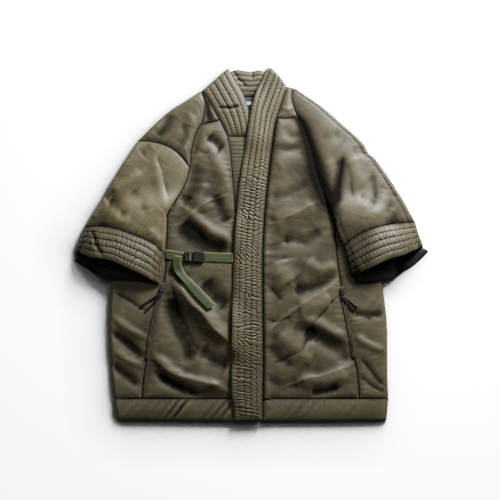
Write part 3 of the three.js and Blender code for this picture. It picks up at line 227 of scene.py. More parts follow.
def lay(u, v, plan, sides, under, turn_under, wall, seam_wall, relief, lift):
    """Plan points of a piece with the heights of its underside and its top at each of them."""
    span_u, span_v = spans(plan, u, v)
    share = {"west": v, "east": v, "south": u, "north": u}
    kind = {side: kinds_of(sides[side], plan[side], share[side]) for side in SIDES}
    west, east = (np.where(kind[side] == TUCKED, TUCK / span_u, 0) for side in ("west", "east"))
    drawn = west * (1 - u) + (1 - east) * u
    away = {"west": u * span_u, "east": (1 - u) * span_u, "south": v * span_v, "north": (1 - v) * span_v}
    xy = place(plan, drawn, v)
    for side, distance in away.items():
        inset = EDGE_INSET[kind[side]] * np.clip(1 - distance / INSET_REACH, 0, 1)
        xy = xy + inward(plan, side, v if side in ("west", "east") else drawn) * inset[..., None]

    def nearest(*kinds):
        """Distance to the nearest edge of these kinds."""
        near = np.full(u.shape, 1e6)
        for side, distance in away.items():
            near = np.where(np.isin(kind[side], kinds), np.minimum(near, distance), near)
        return near

    turned, stitched_down = nearest(TURN), nearest(SEAM, LOOSE, HEM, TUCKED)
    x, y = xy[..., 0], xy[..., 1]
    point = SimpleNamespace(u=u, v=v, x=x, y=y, away=away, span_u=span_u, span_v=span_v, sewn=nearest(SEAM))
    loft = 1 - np.exp(-stitched_down / LOFT_REACH)
    low = under(x, y) + lift(u, v) * smooth(turned / (3 * FOLD_TURN))
    high = low + seam_wall + (wall - seam_wall) * loft + relief(point) * loft
    over = np.clip(turned / FOLD_TURN, 0, 1)
    floor = np.minimum(low, turn_under(x, y))
    bowed = np.sqrt(1 - (1 - over) ** 2)
    high = np.where(over < 1, (floor + seam_wall) * (1 - bowed) + high * bowed, high)
    low = np.where(over < 1, floor * (1 - over ** 2) + low * over ** 2, low)
    rolled = np.sqrt(1 - (1 - np.clip(nearest(HEM) / HEM_ROUND, 0, 1)) ** 2) * 0.85 + 0.15
    middle = (low + high) / 2
    return x, y, middle - (middle - low) * rolled, middle + (high - middle) * rolled, point


def hollows(heights, pitch, reach):
    """How much lower each point lies than the cloth around it, in millimetres."""
    mean = heights
    for axis, step in ((0, pitch[1]), (1, pitch[0])):
        cells = max(1, int(round(reach / step)))
        padded = np.pad(mean, [(cells, cells) if k == axis else (0, 0) for k in (0, 1)], mode="edge")
        parts = [np.take(padded, range(n, n + mean.shape[axis]), axis) for n in range(2 * cells + 1)]
        mean = np.mean(parts, axis=0)
    return mean - heights


def lines_across(span, pitch, near_start, near_end, rows=1):
    """Shares at which a panel's mesh has its lines: even, and closer beside a rounded edge."""
    count = rows * max(2, int(round(span / pitch / rows)))
    shares = list(np.linspace(0, 1, count + 1))
    for distance in (0.25, 0.8, 1.6, 2.6, 4.2, 6.0):
        if near_start:
            shares.append(distance / span)
        if near_end:
            shares.append(1 - distance / span)
    shares = np.unique(np.round(shares, 6))
    wide = np.concatenate([[True], np.diff(shares) > 0.12 / span])
    return shares[wide]


def quads(ids):
    a, b, c, d = ids[:-1, :-1], ids[:-1, 1:], ids[1:, 1:], ids[1:, :-1]
    return np.stack([a, b, c, d], -1).reshape(-1, 4).tolist()


def rim(top, base, steps, flip):
    """Side wall between a fine edge of the top and the coarser edge of the underside."""
    faces = []
    for k in range(len(steps) - 1):
        fan = list(range(steps[k], steps[k + 1] + 1))
        face = [int(base[k]), int(base[k + 1])] + [int(top[n]) for n in reversed(fan)]
        faces.append(face[::-1] if flip else face)
    return faces


def in_scene(name, data):
    """A new object that holds this mesh, lamp or camera."""
    made = bpy.data.objects.new(name, data)
    bpy.context.scene.collection.objects.link(made)
    return made


FINE = 5.0  # a mesh with a closer pitch shows from above, and rounds its edges
DEEPEST, HIGHEST = 1.0, -0.6  # limits of the painted shading: its darkest painted shade and its brightest painted highlight
made_from = {}


def make_cloth(node, plan, sides, on=(), also_on=(), turn_on=(), material=None,
               ending="_cloth", held="laid", wall=WALL, seam_wall=SEAM_WALL, relief=no_relief,
               painted_shade=no_relief, lift=lambda u, v: 0 * u, near=12.0, blur=10.0, pitch=(2.4, 2.4),
               rows=(1, 1), shadows=0.8):
    """A closed padded wall over its plan, laid on what lies under it, as a mesh in metres. It stands
    for its solid and rides on the jacket."""
    sides = dict(zip(SIDES, sides))
    under, turn_under = drape_over([*on, *also_on], near, blur), drape_over(turn_on, 8.0, 4.0)
    made_from[node] = (plan, sides, under, turn_under, wall, seam_wall, relief, lift)
    wide = (length(plan["south"]) + length(plan["north"])) / 2
    tall = (length(plan["west"]) + length(plan["east"])) / 2
    rounded = {side: kind != LOOSE and pitch[0] < FINE for side, kind in sides.items()}
    gu = lines_across(wide, pitch[0], rounded["west"], rounded["east"], rows[0])
    gv = lines_across(tall, pitch[1], rounded["south"], rounded["north"], rows[1])
    u, v = np.meshgrid(gu, gv)
    x, y, low, high, point = lay(u, v, *made_from[node])
    top = np.stack([x, y, high], -1)
    keep_top(node, top)

    # Painted shading for the material: painted shade in hollows, along seams and where a painted shade is
    # given, and a painted highlight on raised parts.
    deep = np.clip(painted_shade(point), 0, 1)
    painted_shading = (hollows(high, pitch, 3.0) * shadows + hollows(high, pitch, 12) / 4.6
              + hollows(high, pitch, 26) / 9)
    painted_shading = np.clip(painted_shading, HIGHEST, 0.9) * (1 - deep) + deep + 0.8 * np.exp(-(point.sewn / 1.1) ** 2)
    painted_shading = np.clip(painted_shading, HIGHEST, DEEPEST)
    edge_near = np.minimum(np.minimum(u, 1 - u) * wide, np.minimum(v, 1 - v) * tall)
    across = np.stack([u * wide, v * tall, edge_near], -1)

    every = 3 if pitch[0] < FINE else 1
    bu, bv = (sorted({*range(0, len(shares), every), len(shares) - 1}) for shares in (gu, gv))
    coarse = np.ix_(bv, bu)
    top_id = np.arange(u.size).reshape(u.shape)
    base_id = top_id.size + np.arange(len(bv) * len(bu)).reshape(len(bv), len(bu))
    corners = np.concatenate([top.reshape(-1, 3), np.stack([x, y, low], -1)[coarse].reshape(-1, 3)])
    faces = quads(top_id) + [face[::-1] for face in quads(base_id)]
    faces += rim(top_id[0], base_id[0], bu, False) + rim(top_id[-1], base_id[-1], bu, True)
    faces += rim(top_id[:, 0], base_id[:, 0], bv, True) + rim(top_id[:, -1], base_id[:, -1], bv, False)
    if signed_area(plan) < 0:
        faces = [face[::-1] for face in faces]
    mesh = bpy.data.meshes.new(node + ending)
    mesh.from_pydata((corners * MM).tolist(), [], faces)
    mesh.polygons.foreach_set("use_smooth", np.ones(len(faces), bool))
    share = np.concatenate([across.reshape(-1, 3), across[coarse].reshape(-1, 3)]) * MM
    store = mesh.attributes.new("cloth", "FLOAT_VECTOR", "POINT")
    store.data.foreach_set("vector", share.astype(np.float32).ravel())
    shading_mask = np.concatenate([painted_shading.ravel(), painted_shading[coarse].ravel()])
    painted_shading_attribute = mesh.attributes.new("painted_shading", "FLOAT", "POINT")
    painted_shading_attribute.data.foreach_set("value", shading_mask.astype(np.float32))
    mesh.materials.append(material or olive_nylon)

    piece = in_scene(node + ending, mesh)
    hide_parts(node)
    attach(piece, "jacket")
    if held:
        wide = max(length(plan["south"]), length(plan["north"])) * MM
        tall = max(length(plan["west"]), length(plan["east"])) * MM


def noise(x, y, scale, seed, stretched=1.0, angle=0.0):
    """Soft random heights from 0 to 1 over the plan, with a fixed seed."""
    c, s = math.cos(angle), math.sin(angle)
    fx, fy = (x * c + y * s) / (scale * stretched) + 200.5, (y * c - x * s) / scale + 200.5
    grid = np.random.default_rng(seed).random((401, 401))
    i, j = np.clip(fx.astype(int), 0, 399), np.clip(fy.astype(int), 0, 399)
    s, t = smooth(fx - i), smooth(fy - j)
    low = grid[j, i] * (1 - s) + grid[j, i + 1] * s
    return low * (1 - t) + (grid[j + 1, i] * (1 - s) + grid[j + 1, i + 1] * s) * t


def ridged(x, y, scale, seed, stretched=1.0, angle=0.0):
    """Random sharp ridges between soft hollows, from 0 to 1, as crumpled nylon has."""
    return 1 - np.abs(2 * noise(x, y, scale, seed, stretched, angle) - 1)


def fold(p, width, height, through, sharp=False):
    """One fold through a few points in plan: a ridge, or a trough where its height is negative."""
    wx = p.x + 7 * (noise(p.x, p.y, 34, 5) - 0.5) + 1.0 * (noise(p.x, p.y, 11, 6) - 0.5)
    wy = p.y + 7 * (noise(p.x, p.y, 34, 7) - 0.5) + 1.0 * (noise(p.x, p.y, 11, 8) - 0.5)
    nearest, run = np.full(wx.shape, 1e6), np.zeros(wx.shape)
    done, whole = 0.0, sum(math.dist(p, q) for p, q in zip(through, through[1:]))
    for p, q in zip(through, through[1:]):
        dx, dy = q[0] - p[0], q[1] - p[1]
        span = math.hypot(dx, dy)
        share = np.clip(((wx - p[0]) * dx + (wy - p[1]) * dy) / span ** 2, 0, 1)
        distance = np.hypot(wx - p[0] - share * dx, wy - p[1] - share * dy)
        run = np.where(distance < nearest, (done + share * span) / whole, run)
        nearest = np.minimum(nearest, distance)
        done += span
    fade = smooth(np.minimum(run, 1 - run) * 4 + 0.35)
    reach = nearest / (width * (0.55 + 0.45 * fade))
    return 1.6 * height * fade * np.exp(-reach if sharp else -reach ** 2)


def gathers(p, side, pitch, height, reach, seed):
    """Short uneven folds that run out of a seam where the cloth is eased into it."""
    along = p.v * p.span_v if side in ("west", "east") else p.u * p.span_u
    sway = 2.2 * noise(along, 0 * along + seed, pitch * 1.7, seed) * math.pi
    size = 0.35 + 1.3 * noise(along, p.away[side], pitch * 2.6, seed + 1)
    waves = np.sin(2 * math.pi * along / pitch + 2 * sway)
    return 0.6 * height * size * waves * np.exp(-p.away[side] / reach)


def crumple(p, share=1.0, shift=0.0):
    """The padding's own unevenness: broad soft swells with a few sharper wrinkles on them."""
    x, y = p.x + shift, p.y
    wx = x + 22 * (noise(x, y, 60, 31) - 0.5)
    wy = y + 22 * (noise(x, y, 60, 32) - 0.5)
    swell = (5.0 * (noise(wx, wy, 80, 33, 2.2, 0.9) - 0.5)
             + 0.5 * (noise(wx, wy, 32, 34, 2.0, 0.7) - 0.5))
    wrinkles = 0.7 * ridged(wx, wy, 46, 35, 3.0, 0.5) ** 4 - 0.1
    fine = (0.4 * ridged(wx, wy, 16, 36, 3.4, -0.4) ** 5
            + 0.35 * ridged(wx, wy, 24, 37, 2.6, 1.2) ** 4 - 0.1)
    return share * (swell + wrinkles + fine)


def feed(node, inputs):
    """Sets a node's inputs, each to a value or from another node's output."""
    for name, value in inputs.items():
        if isinstance(value, bpy.types.NodeSocket):
            node.id_data.links.new(value, node.inputs[name])
        else:
            node.inputs[name].default_value = value


def add(tree, kind, inputs={}, **settings):
    """A new node with its settings and its inputs."""
    node = tree.nodes.new(kind)
    for name, value in settings.items():
        setattr(node, name, value)
    feed(node, inputs)
    return node


def new_group(name, kind, inputs, outputs):
    """A node group with its sockets: each a name with its type and, where it has one, its value."""
    tree = bpy.data.node_groups.new(name, kind)
    for way, sockets in (("INPUT", inputs), ("OUTPUT", outputs)):
        for label, (kind_of_socket, *value) in sockets.items():
            socket = tree.interface.new_socket(label, in_out=way, socket_type="NodeSocket" + kind_of_socket)
            if value:
                socket.default_value = value[0]
    return tree, tree.nodes.new("NodeGroupInput").outputs, tree.nodes.new("NodeGroupOutput")


def calc(tree, operation, a, b):
    return add(tree, "ShaderNodeMath", {0: a, 1: b}, operation=operation).outputs[0]


def scaled(tree, vector, scale):
    return add(tree, "ShaderNodeVectorMath", {0: vector, "Scale": scale}, operation="SCALE").outputs[0]


def ranged(tree, value, low, high, from_low=0.0, from_high=1.0):
    limits = {"From Min": from_low, "From Max": from_high, "To Min": low, "To Max": high}
    return add(tree, "ShaderNodeMapRange", {"Value": value, **limits}).outputs["Result"]


def mixed(tree, factor, a, b):
    inputs = {"Factor": factor, "A": a, "B": b}
    return add(tree, "ShaderNodeMix", inputs, data_type="RGBA").outputs["Result"]


def bumped(tree, height, strength, distance):
    sizes = {"Strength": strength, "Distance": distance}
    return add(tree, "ShaderNodeBump", {"Height": height, **sizes}).outputs["Normal"]


def from_attribute(tree, name, output):
    return add(tree, "ShaderNodeAttribute", attribute_name=name).outputs[output]


def cloth_surface():
    """Node group: satin nylon's colour, roughness and relief, duller in hollows, with painted shade and
    highlight.
    """
    tree, given, result = new_group(
        "nylon_surface", "ShaderNodeTree",
        {"Crease Size mm": ("Float", 9.0), "Twill Pitch mm": ("Float", 0.7), "Roughness": ("Float", 0.5),
         "Seed": ("Float", 0.0), "Dark": ("Color",), "Light": ("Color",)},
        {"Color": ("Color",), "Roughness": ("Float",), "Height": ("Float",), "Sheen": ("Float",)})

    def noise_of(vector, detail, scale=1.0):
        inputs = {"Vector": vector, "W": given["Seed"], "Detail": detail, "Scale": scale}
        return add(tree, "ShaderNodeTexNoise", inputs, noise_dimensions="4D").outputs["Fac"]

    millimetres = scaled(tree, add(tree, "ShaderNodeTexCoord").outputs["Object"], 1 / MM)
    creases = noise_of(millimetres, 3.0, calc(tree, "DIVIDE", 1.0, given["Crease Size mm"]))
    drawn = add(tree, "ShaderNodeMapping", {"Vector": from_attribute(tree, "cloth", "Vector"),
                                            "Scale": (55, 620, 1)})
    threads = noise_of(drawn.outputs[0], 2.0)
    twill_scale = calc(tree, "DIVIDE", 0.31, given["Twill Pitch mm"])
    twill = add(tree, "ShaderNodeTexWave", {"Vector": millimetres, "Scale": twill_scale},
                wave_type="BANDS", bands_direction="DIAGONAL").outputs["Fac"]
    shading_mask = from_attribute(tree, "painted_shading", "Fac")

    cast = mixed(tree, noise_of(millimetres, 2.0, 0.018), given["Dark"], given["Light"])
    # painted shade and highlight: the colour darkens where the shading mask is high and lightens where it
    # is low
    lit = calc(tree, "MULTIPLY", ranged(tree, shading_mask, 1.55, 0.04, -1.0), ranged(tree, threads, 0.72, 1.28))
    dulled = calc(tree, "ADD", ranged(tree, creases, -0.06, 0.06), ranged(tree, shading_mask, 0.0, 0.35))
    weave = calc(tree, "ADD", ranged(tree, twill, 0.0, 0.05), ranged(tree, threads, 0.0, 0.22))
    # painted shade on the reflection: the coat's sheen fades out where the mask paints shade
    feed(result, {"Color": scaled(tree, cast, lit), "Height": calc(tree, "ADD", creases, weave),
                  "Roughness": calc(tree, "ADD", given["Roughness"], dulled),
                  "Sheen": ranged(tree, shading_mask, 0.7, 0.0, -0.1, 0.6)})
    return tree


nylon_surface = cloth_surface()


def new_material(name):
    material = bpy.data.materials.new(name)
    material.use_nodes = True
    return material, material.node_tree, material.node_tree.nodes["Principled BSDF"]


def nylon_material(name, dark, light, roughness, seed):
    """Satin nylon of one colour: its weave, small creases, duller hollows and painted shade and highlight.
    """
    material, tree, shader = new_material(name)
    chosen = {"Dark": (*dark, 1), "Light": (*light, 1), "Roughness": roughness, "Seed": seed}
    surface = add(tree, "ShaderNodeGroup", chosen, node_tree=nylon_surface).outputs
    feed(shader, {"Base Color": surface["Color"], "Roughness": surface["Roughness"],
                  "Normal": bumped(tree, surface["Height"], 0.5, 0.0018), "Specular IOR Level": 0.1,
                  "Coat Weight": surface["Sheen"], "Coat Roughness": roughness,
                  "Coat Tint": (1.0, 0.96, 0.85, 1)})
    return material


OLIVE_DARK, OLIVE_LIGHT = (0.048, 0.042, 0.025), (0.104, 0.093, 0.057)
olive_nylon = nylon_material("olive_nylon", OLIVE_DARK, OLIVE_LIGHT, 0.5, 0.0)

HEM_Y = -339.0
neck_seam = edge((-108, 329), (-52, 325), (-3, 324), (41, 325), (89, 332))
right_armhole = edge((-110, 336), (-102, 310), (-104, 284), (-109, 265), (-120, 245), (-130, 209),
                     (-135, 167))
right_underarm = edge((-135, 167), (-146, 130), (-166, 95), (-185, 63))
right_hidden_side = edge((-185, 63), (-219, 44), (-256, 14), (-294, -30), (-308, -77))
right_side = edge((-308, -77), (-310, -112), (-312, -182), (-308, -283), (-302, HEM_Y))
left_armhole_upper = edge((90, 343), (89, 318), (95, 296), (101, 279))
left_armhole = edge((101, 279), (112, 259), (126, 221), (136, 186), (147, 142), (168, 91), (181, 54))
left_hidden_side = edge((181, 54), (208, 36), (243, 7), (274, -30), (287, -79))
left_side = edge((287, -79), (294, -135), (298, -173), (299, -276), (301, HEM_Y))
hem_seam = edge((-302, HEM_Y), (301, HEM_Y))
hem = edge((-296, -385), (-219, -386), (-37, -388), (113, -388), (297, -386))

back_right = back(joined(from_y(right_armhole, 329), right_underarm, right_hidden_side, right_side))
back_left = back(joined(from_y(left_armhole_upper, 332), left_armhole, left_hidden_side, left_side))
make_cloth("back_panel", panel(back_right, back_left, hem_seam, neck_seam),
           ((length(right_hidden_side) + length(right_side) + 40, TUCKED, LOOSE),
            (length(left_hidden_side) + length(left_side) + 40, TUCKED, LOOSE), SEAM, SEAM),
           pitch=(7, 7), relief=lambda p: 0.5 * crumple(p) * (p.y > 250))

# Back hem band: a strip of the same nylon across the foot of the back, stitched to it all along.
# Only its lower edge shows, under the hem bands of the fronts.
make_cloth("back_hem_band", panel(south=hem, north=hem_seam), (TUCKED, TUCKED, HEM, SEAM), pitch=(6, 6))

# Neck stand: the back of the collar band, quilted with five rows of stitching along the neck. It
# stands up behind the nape on a wearer, and laid out it shows its inner face.
QUILT_HEIGHT, CHANNELS = 2.2, 5
QUILT_SHADOWS = 2.8  # how strongly the narrow grooves of the quilting are shaded


def channels(share):
    """Height of rounded quilting channels at a share of the band's width."""
    return QUILT_HEIGHT * (np.abs(np.sin(math.pi * CHANNELS * share)) ** 0.45 - 0.5)


def puckers(p, across_band, seed, pitch=6.5, height=0.8, slant=5.0, count=CHANNELS):
    """Narrow slanted creases that cross a channel, drawn up by its stitching, each a little different."""
    share, along = (p.u, p.v * p.span_v) if across_band == "u" else (p.v, p.u * p.span_u)
    lane = np.floor(share * count)
    across = share * count - lane - 0.5
    lean = slant * (noise(along, lane * 9.1, 24, seed + 3) * 2 - 0.6)
    sway = 1.1 * noise(along, lane * 7.3, 17, seed) + 0.7 * noise(along, lane * 3.1, 8, seed + 1)
    turn = (along + lean * across) / pitch + 0.37 * lane + sway
    size = 0.25 + 1.5 * noise(along, lane * 5.7, 11, seed + 2)
    near = 0.45 + 0.55 * np.abs(np.cos(math.pi * count * share)) ** 2
    return height * size * near * (0.4 - 1.8 * (1 - np.abs(np.sin(math.pi * turn))) ** 3)


def on_top(node, u, v, above=0.2):
    """Points on the top of a finished piece at shares of its width and height, in millimetres."""
    x, y, _, high, _ = lay(u, v, *made_from[node])
    return np.stack([x, y, high + above], -1)


def row_beside(node, side, inset, start=0.01, end=0.99):
    """A row on the top of a piece, a distance inside one of its edges."""
    share = np.linspace(start, end, 500)
    upright = side in ("west", "east")
    across = inset / spans(made_from[node][0], share, share)[0 if upright else 1]
    across = across if side in ("west", "south") else 1 - across
    return on_top(node, across, share) if upright else on_top(node, share, across)


def rows_between(node, across_band, start=0.01, end=0.99):
    """The rows of a quilted piece: one on each line between two channels, and one at each edge."""
    share = np.linspace(start, end, 700)
    lines = [0 * share + min(0.985, max(0.015, k / CHANNELS)) for k in range(CHANNELS + 1)]
    return [on_top(node, line, share) if across_band == "u" else on_top(node, share, line)
            for line in lines]


def stitch_tree():
    """Geometry Nodes: stitches of one length, end to end along lines with a small gap."""
    tree, given, result = new_group(
        "row_of_stitches", "GeometryNodeTree",
        {"Geometry": ("Geometry",), "Pitch": ("Float", 0.0036), "Stitch Length": ("Float", 0.003),
         "Thread": ("Float", 0.0004), "Material": ("Material",)}, {"Geometry": ("Geometry",)})
    line = add(tree, "GeometryNodeMeshToCurve", {"Mesh": given["Geometry"]}).outputs["Curve"]
    points = add(tree, "GeometryNodeCurveToPoints", mode="LENGTH")
    feed(points, {"Curve": line, "Length": given["Pitch"]})
    bead = add(tree, "GeometryNodeMeshUVSphere", {"Segments": 5, "Rings": 4})
    half = calc(tree, "MULTIPLY", given["Stitch Length"], 0.5)
    size = add(tree, "ShaderNodeCombineXYZ", {"X": given["Thread"], "Y": given["Thread"], "Z": half})
    placed = add(tree, "GeometryNodeInstanceOnPoints", {
        "Points": points.outputs["Points"], "Rotation": points.outputs["Rotation"],
        "Instance": bead.outputs["Mesh"], "Scale": size.outputs[0]})
    realized = add(tree, "GeometryNodeRealizeInstances", {"Geometry": placed.outputs["Instances"]})
    painted = add(tree, "GeometryNodeSetMaterial", {"Geometry": realized.outputs["Geometry"],
                                                    "Material": given["Material"]})
    feed(result, {"Geometry": painted.outputs["Geometry"]})
    return tree


row_of_stitches = stitch_tree()


def stitched(name, rows, thread, pitch=3.6, long=3.0, thick=0.4):
    """One mesh with all the stitches of a seam or a quilted piece."""
    firsts = np.cumsum([0] + [len(row) for row in rows])
    edges = [(k, k + 1) for a, b in zip(firsts, firsts[1:]) for k in range(a, b - 1)]
    mesh = bpy.data.meshes.new(name)
    mesh.from_pydata((np.concatenate(rows) * MM).tolist(), edges, [])
    piece = in_scene(name, mesh)
    sewing = piece.modifiers.new("sewing", "NODES")
    sewing.node_group = row_of_stitches
    named = {item.name: item.identifier for item in row_of_stitches.interface.items_tree
             if item.in_out == "INPUT"}
    sewing[named["Pitch"]] = pitch * MM
    sewing[named["Stitch Length"]] = long * MM
    sewing[named["Thread"]] = thick * MM
    sewing[named["Material"]] = thread
    made = bpy.data.meshes.new_from_object(piece.evaluated_get(bpy.context.evaluated_depsgraph_get()))
    piece.modifiers.clear()
    piece.data = made
    made.polygons.foreach_set("use_smooth", np.ones(len(made.polygons), bool))
    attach(piece, "jacket")


FINE_SCALE = 900.0  # of the noise in thread, selvedge and metal


def grain_group():
    """Node group: two shades in a fine random grain, and the grain itself as a mask."""
    tree, given, result = new_group(
        "fine_grain", "ShaderNodeTree",
        {"Scale": ("Float", FINE_SCALE), "Dark": ("Color",), "Light": ("Color",)},
        {"Color": ("Color",), "Mask": ("Float",)})
    where = add(tree, "ShaderNodeTexCoord").outputs["Object"]
    grain = add(tree, "ShaderNodeTexNoise", {"Vector": where, "Scale": given["Scale"]}).outputs["Fac"]
    feed(result, {"Color": mixed(tree, grain, given["Dark"], given["Light"]), "Mask": grain})
    return tree


fine_grain = grain_group()


def grainy_material(name, scale, dark, light, roughness, relief=0.0):
    """A material in two close shades of one colour, with a grain that can also be felt."""
    material, tree, shader = new_material(name)
    grain = add(tree, "ShaderNodeGroup", node_tree=fine_grain)
    feed(grain, {"Scale": scale, "Dark": (*dark, 1), "Light": (*light, 1)})
    feed(shader, {"Base Color": grain.outputs["Color"], "Roughness": roughness})
    if relief:
        feed(shader, {"Normal": bumped(tree, grain.outputs["Mask"], relief, 0.0002)})
    return material


def thread_material(name, colour):
    """Polyester thread: two shades wound round each other."""
    dark, light = ([share * value for value in colour] for share in (0.6, 1.5))
    return grainy_material(name, FINE_SCALE, dark, light, 0.6)


olive_thread = thread_material("olive_thread", (0.035, 0.032, 0.02))
neck_top = edge((-62, 360), (-50, 374), (-38, 383), (-1, 380), (19, 383), (28, 378), (40, 368), (52, 353))
stand_seam = stretch(neck_seam, 0.235, 0.83)
make_cloth("neck_stand", panel(south=stand_seam, north=neck_top), (HEM, HEM, SEAM, HEM),
           pitch=(1.8, 1.2), rows=(1, CHANNELS), shadows=QUILT_SHADOWS,
           relief=lambda p: channels(p.v) + puckers(p, "v", 41, height=0.45)
           + fold(p, 3.5, -2.6, [(-45, 384), (-25, 362), (-9, 349)], sharp=True)
           + fold(p, 2.5, -1.8, [(5, 381), (4, 364)], sharp=True))
stitched("neck_stand_stitches", rows_between("neck_stand", "v"), olive_thread)

# Neck label: a woven rectangle stitched to the inside of the back below the neck. It is left plain
# navy, with two bare stripes.
LABEL_WEST, LABEL_EAST, LABEL_LOW, LABEL_HIGH = -33, 23, 281, 321


def woven_label():
    material, tree, shader = new_material("woven_label")
    where = from_attribute(tree, "cloth", "Vector")
    up = add(tree, "ShaderNodeSeparateXYZ", {0: where}).outputs["Y"]
    share_up = calc(tree, "DIVIDE", up, (LABEL_HIGH - LABEL_LOW) * MM)
    stripes = add(tree, "ShaderNodeValToRGB", {"Fac": share_up})
    stripes.color_ramp.interpolation = "CONSTANT"
    stops = stripes.color_ramp.elements
    navy, pale, white = (0.012, 0.02, 0.055, 1), (0.25, 0.36, 0.5, 1), (0.6, 0.6, 0.58, 1)
    stops[0].color, stops[1].color = navy, navy
    stops[1].position = 0.9
    for position, colour in ((0.12, pale), (0.16, navy), (0.62, white), (0.78, navy)):
        stops.new(position).color = colour
    weave = add(tree, "ShaderNodeTexWave", {"Vector": where, "Scale": 600}).outputs["Fac"]
    feed(shader, {"Base Color": stripes.outputs["Color"], "Normal": bumped(tree, weave, 0.3, 0.0002),
                  "Roughness": 0.7})
    return material


make_cloth("neck_label", panel(edge((LABEL_WEST, LABEL_LOW), (LABEL_WEST, LABEL_HIGH)),
                               edge((LABEL_EAST, LABEL_LOW), (LABEL_EAST, LABEL_HIGH))), (HEM,) * 4,
           on=["back_panel"], material=woven_label(), wall=0.8, seam_wall=0.8, pitch=(2, 2))

# Right front: a small yoke at the neck and one long padded panel from the yoke to the hem band. It
# lies on the back, and its edges are stitched to the collar strip, the sleeve and the side panel.
SHARP = True
RIGHT_FOLDS = [
    (4, 1.6, [(-172, -72), (-128, -134), (-90, -172), (-46, -214)], SHARP),
    (4, -1.4, [(-184, -62), (-158, -150), (-124, -244)], SHARP),
    (4, 1.4, [(-176, 34), (-132, 66), (-90, 96), (-46, 108)], SHARP),
    (4, 1.3, [(-224, -246), (-160, -290), (-60, -312)], SHARP),
    (11, -3.6, [(-96, 238), (-78, 225), (-60, 207)]),
    (10, -3.0, [(-113, 273), (-126, 216), (-131, 190)]),
    (14, 2.6, [(-82, 198), (-60, 154), (-40, 110)]),
    (18, -3.0, [(-120, 176), (-132, 122), (-158, 84)]),
    (15, 2.6, [(-108, 138), (-112, 104), (-96, 70)]),
    (20, -4.2, [(-162, 49), (-131, 18), (-100, -2), (-52, -14)]),
    (13, 3.4, [(-140, 72), (-91, 31), (-44, 9)]),
    (14, -3.0, [(-82, 108), (-62, 74), (-46, 48)]),
    (12, -3.2, [(-188, -57), (-157, -75), (-140, -70)]),
    (20, 6.0, [(-170, -78), (-122, -136), (-47, -211)]),
    (20, -3.6, [(-186, -118), (-162, -180), (-122, -262)]),
    (16, -3.2, [(-104, -80), (-76, -112), (-47, -136)]),
    (12, 3.2, [(-212, -244), (-153, -294), (-56, -316)]),
    (10, -3.0, [(-205, -284), (-150, -326), (-110, -328)]),
    (16, -3.0, [(-112, -236), (-80, -256), (-47, -268)]),
    (5, -1.4, [(-172, 128), (-150, 104), (-128, 98)], SHARP),
    (5, -1.2, [(-125, 215), (-105, 200), (-90, 203)], SHARP),
]


def folds(p, table, wider=1.0, higher=1.0):
    return sum(fold(p, wider * width, higher * height, through, bool(sharp))
               for width, height, through, *sharp in table)


right_yoke_seam = edge((-110, 262), (-81, 269), (-70, 272))
right_collar_outer = edge((-108, 338), (-89, 306), (-70, 272), (-52, 236))
right_collar_inner = edge((-51, 387), (-34, 357), (-16, 324), (-2, 279), (1, 236))
right_band_outer = edge((-52, 236), (-47, 209), (-39, 124), (-34, 53), (-31, -123), (-31, -385))
right_band_inner = edge((1, 236), (6, 185), (10, 97), (11, -35), (11, -385))
right_pocket_seam = edge((-185, 63), (-185, 20), (-186, -13), (-188, -60), (-194, -90), (-202, -118),
                         (-216, -179), (-229, -250), (-236, -290), (-240, HEM_Y))
yoke_start, collar_start = share_at_y(right_armhole, 262), share_at_y(right_collar_outer, 272)
yoke_armhole = stretch(right_armhole, yoke_start, share_at_y(right_armhole, 329))
yoke_collar = stretch(right_collar_outer, collar_start, share_at_y(right_collar_outer, 331))
make_cloth("yoke_right", panel(yoke_armhole, yoke_collar, right_yoke_seam), (SEAM,) * 4, on=["back_panel"],
           # painted shade down the middle of the yoke, in the dark pocket between collar and armhole
           painted_shade=lambda p: 0.85 * np.exp(-((p.u - 0.5) / 0.38) ** 2),
           relief=lambda p: 0.6 * crumple(p) + fold(p, 8, -3, [(-96, 318), (-98, 290), (-88, 272)]))


def across_hem(line, start_x, end_x):
    first, span = line[0, 0], line[-1, 0] - line[0, 0]
    return stretch(line, (start_x - first) / span, (end_x - first) / span)


make_cloth(
    "front_right",
    panel(back(joined(stretch(right_armhole, yoke_start, 1), right_underarm, right_pocket_seam)),
          back(joined(stretch(right_collar_outer, collar_start, 1), to_y(right_band_outer, HEM_Y))),
          across_hem(hem_seam, -240, -31), right_yoke_seam),
    (SEAM,) * 4, on=["back_panel"],
    # painted shade in three bands over the panel's deeper folds
    painted_shade=lambda p: (fold(p, 22, 0.42, [(-168, 40), (-120, 2), (-45, -8)])
                      + fold(p, 15, 0.35, [(-106, 338), (-94, 300), (-92, 268)])
                      + fold(p, 16, 0.25, [(-128, 168), (-100, 110), (-52, 40)])),
    relief=lambda p: crumple(p) + folds(p, RIGHT_FOLDS, 1.1, 1.15) + gathers(p, "west", 15, 0.9, 14, 51)
    + gathers(p, "east", 13, 0.9, 12, 52) + gathers(p, "south", 12, 0.9, 12, 53))
stitched("front_right_stitches", [row_beside("front_right", "north", 2.4),
                                  row_beside("front_right", "east", 2.2, 0.01, 0.93)], olive_thread)

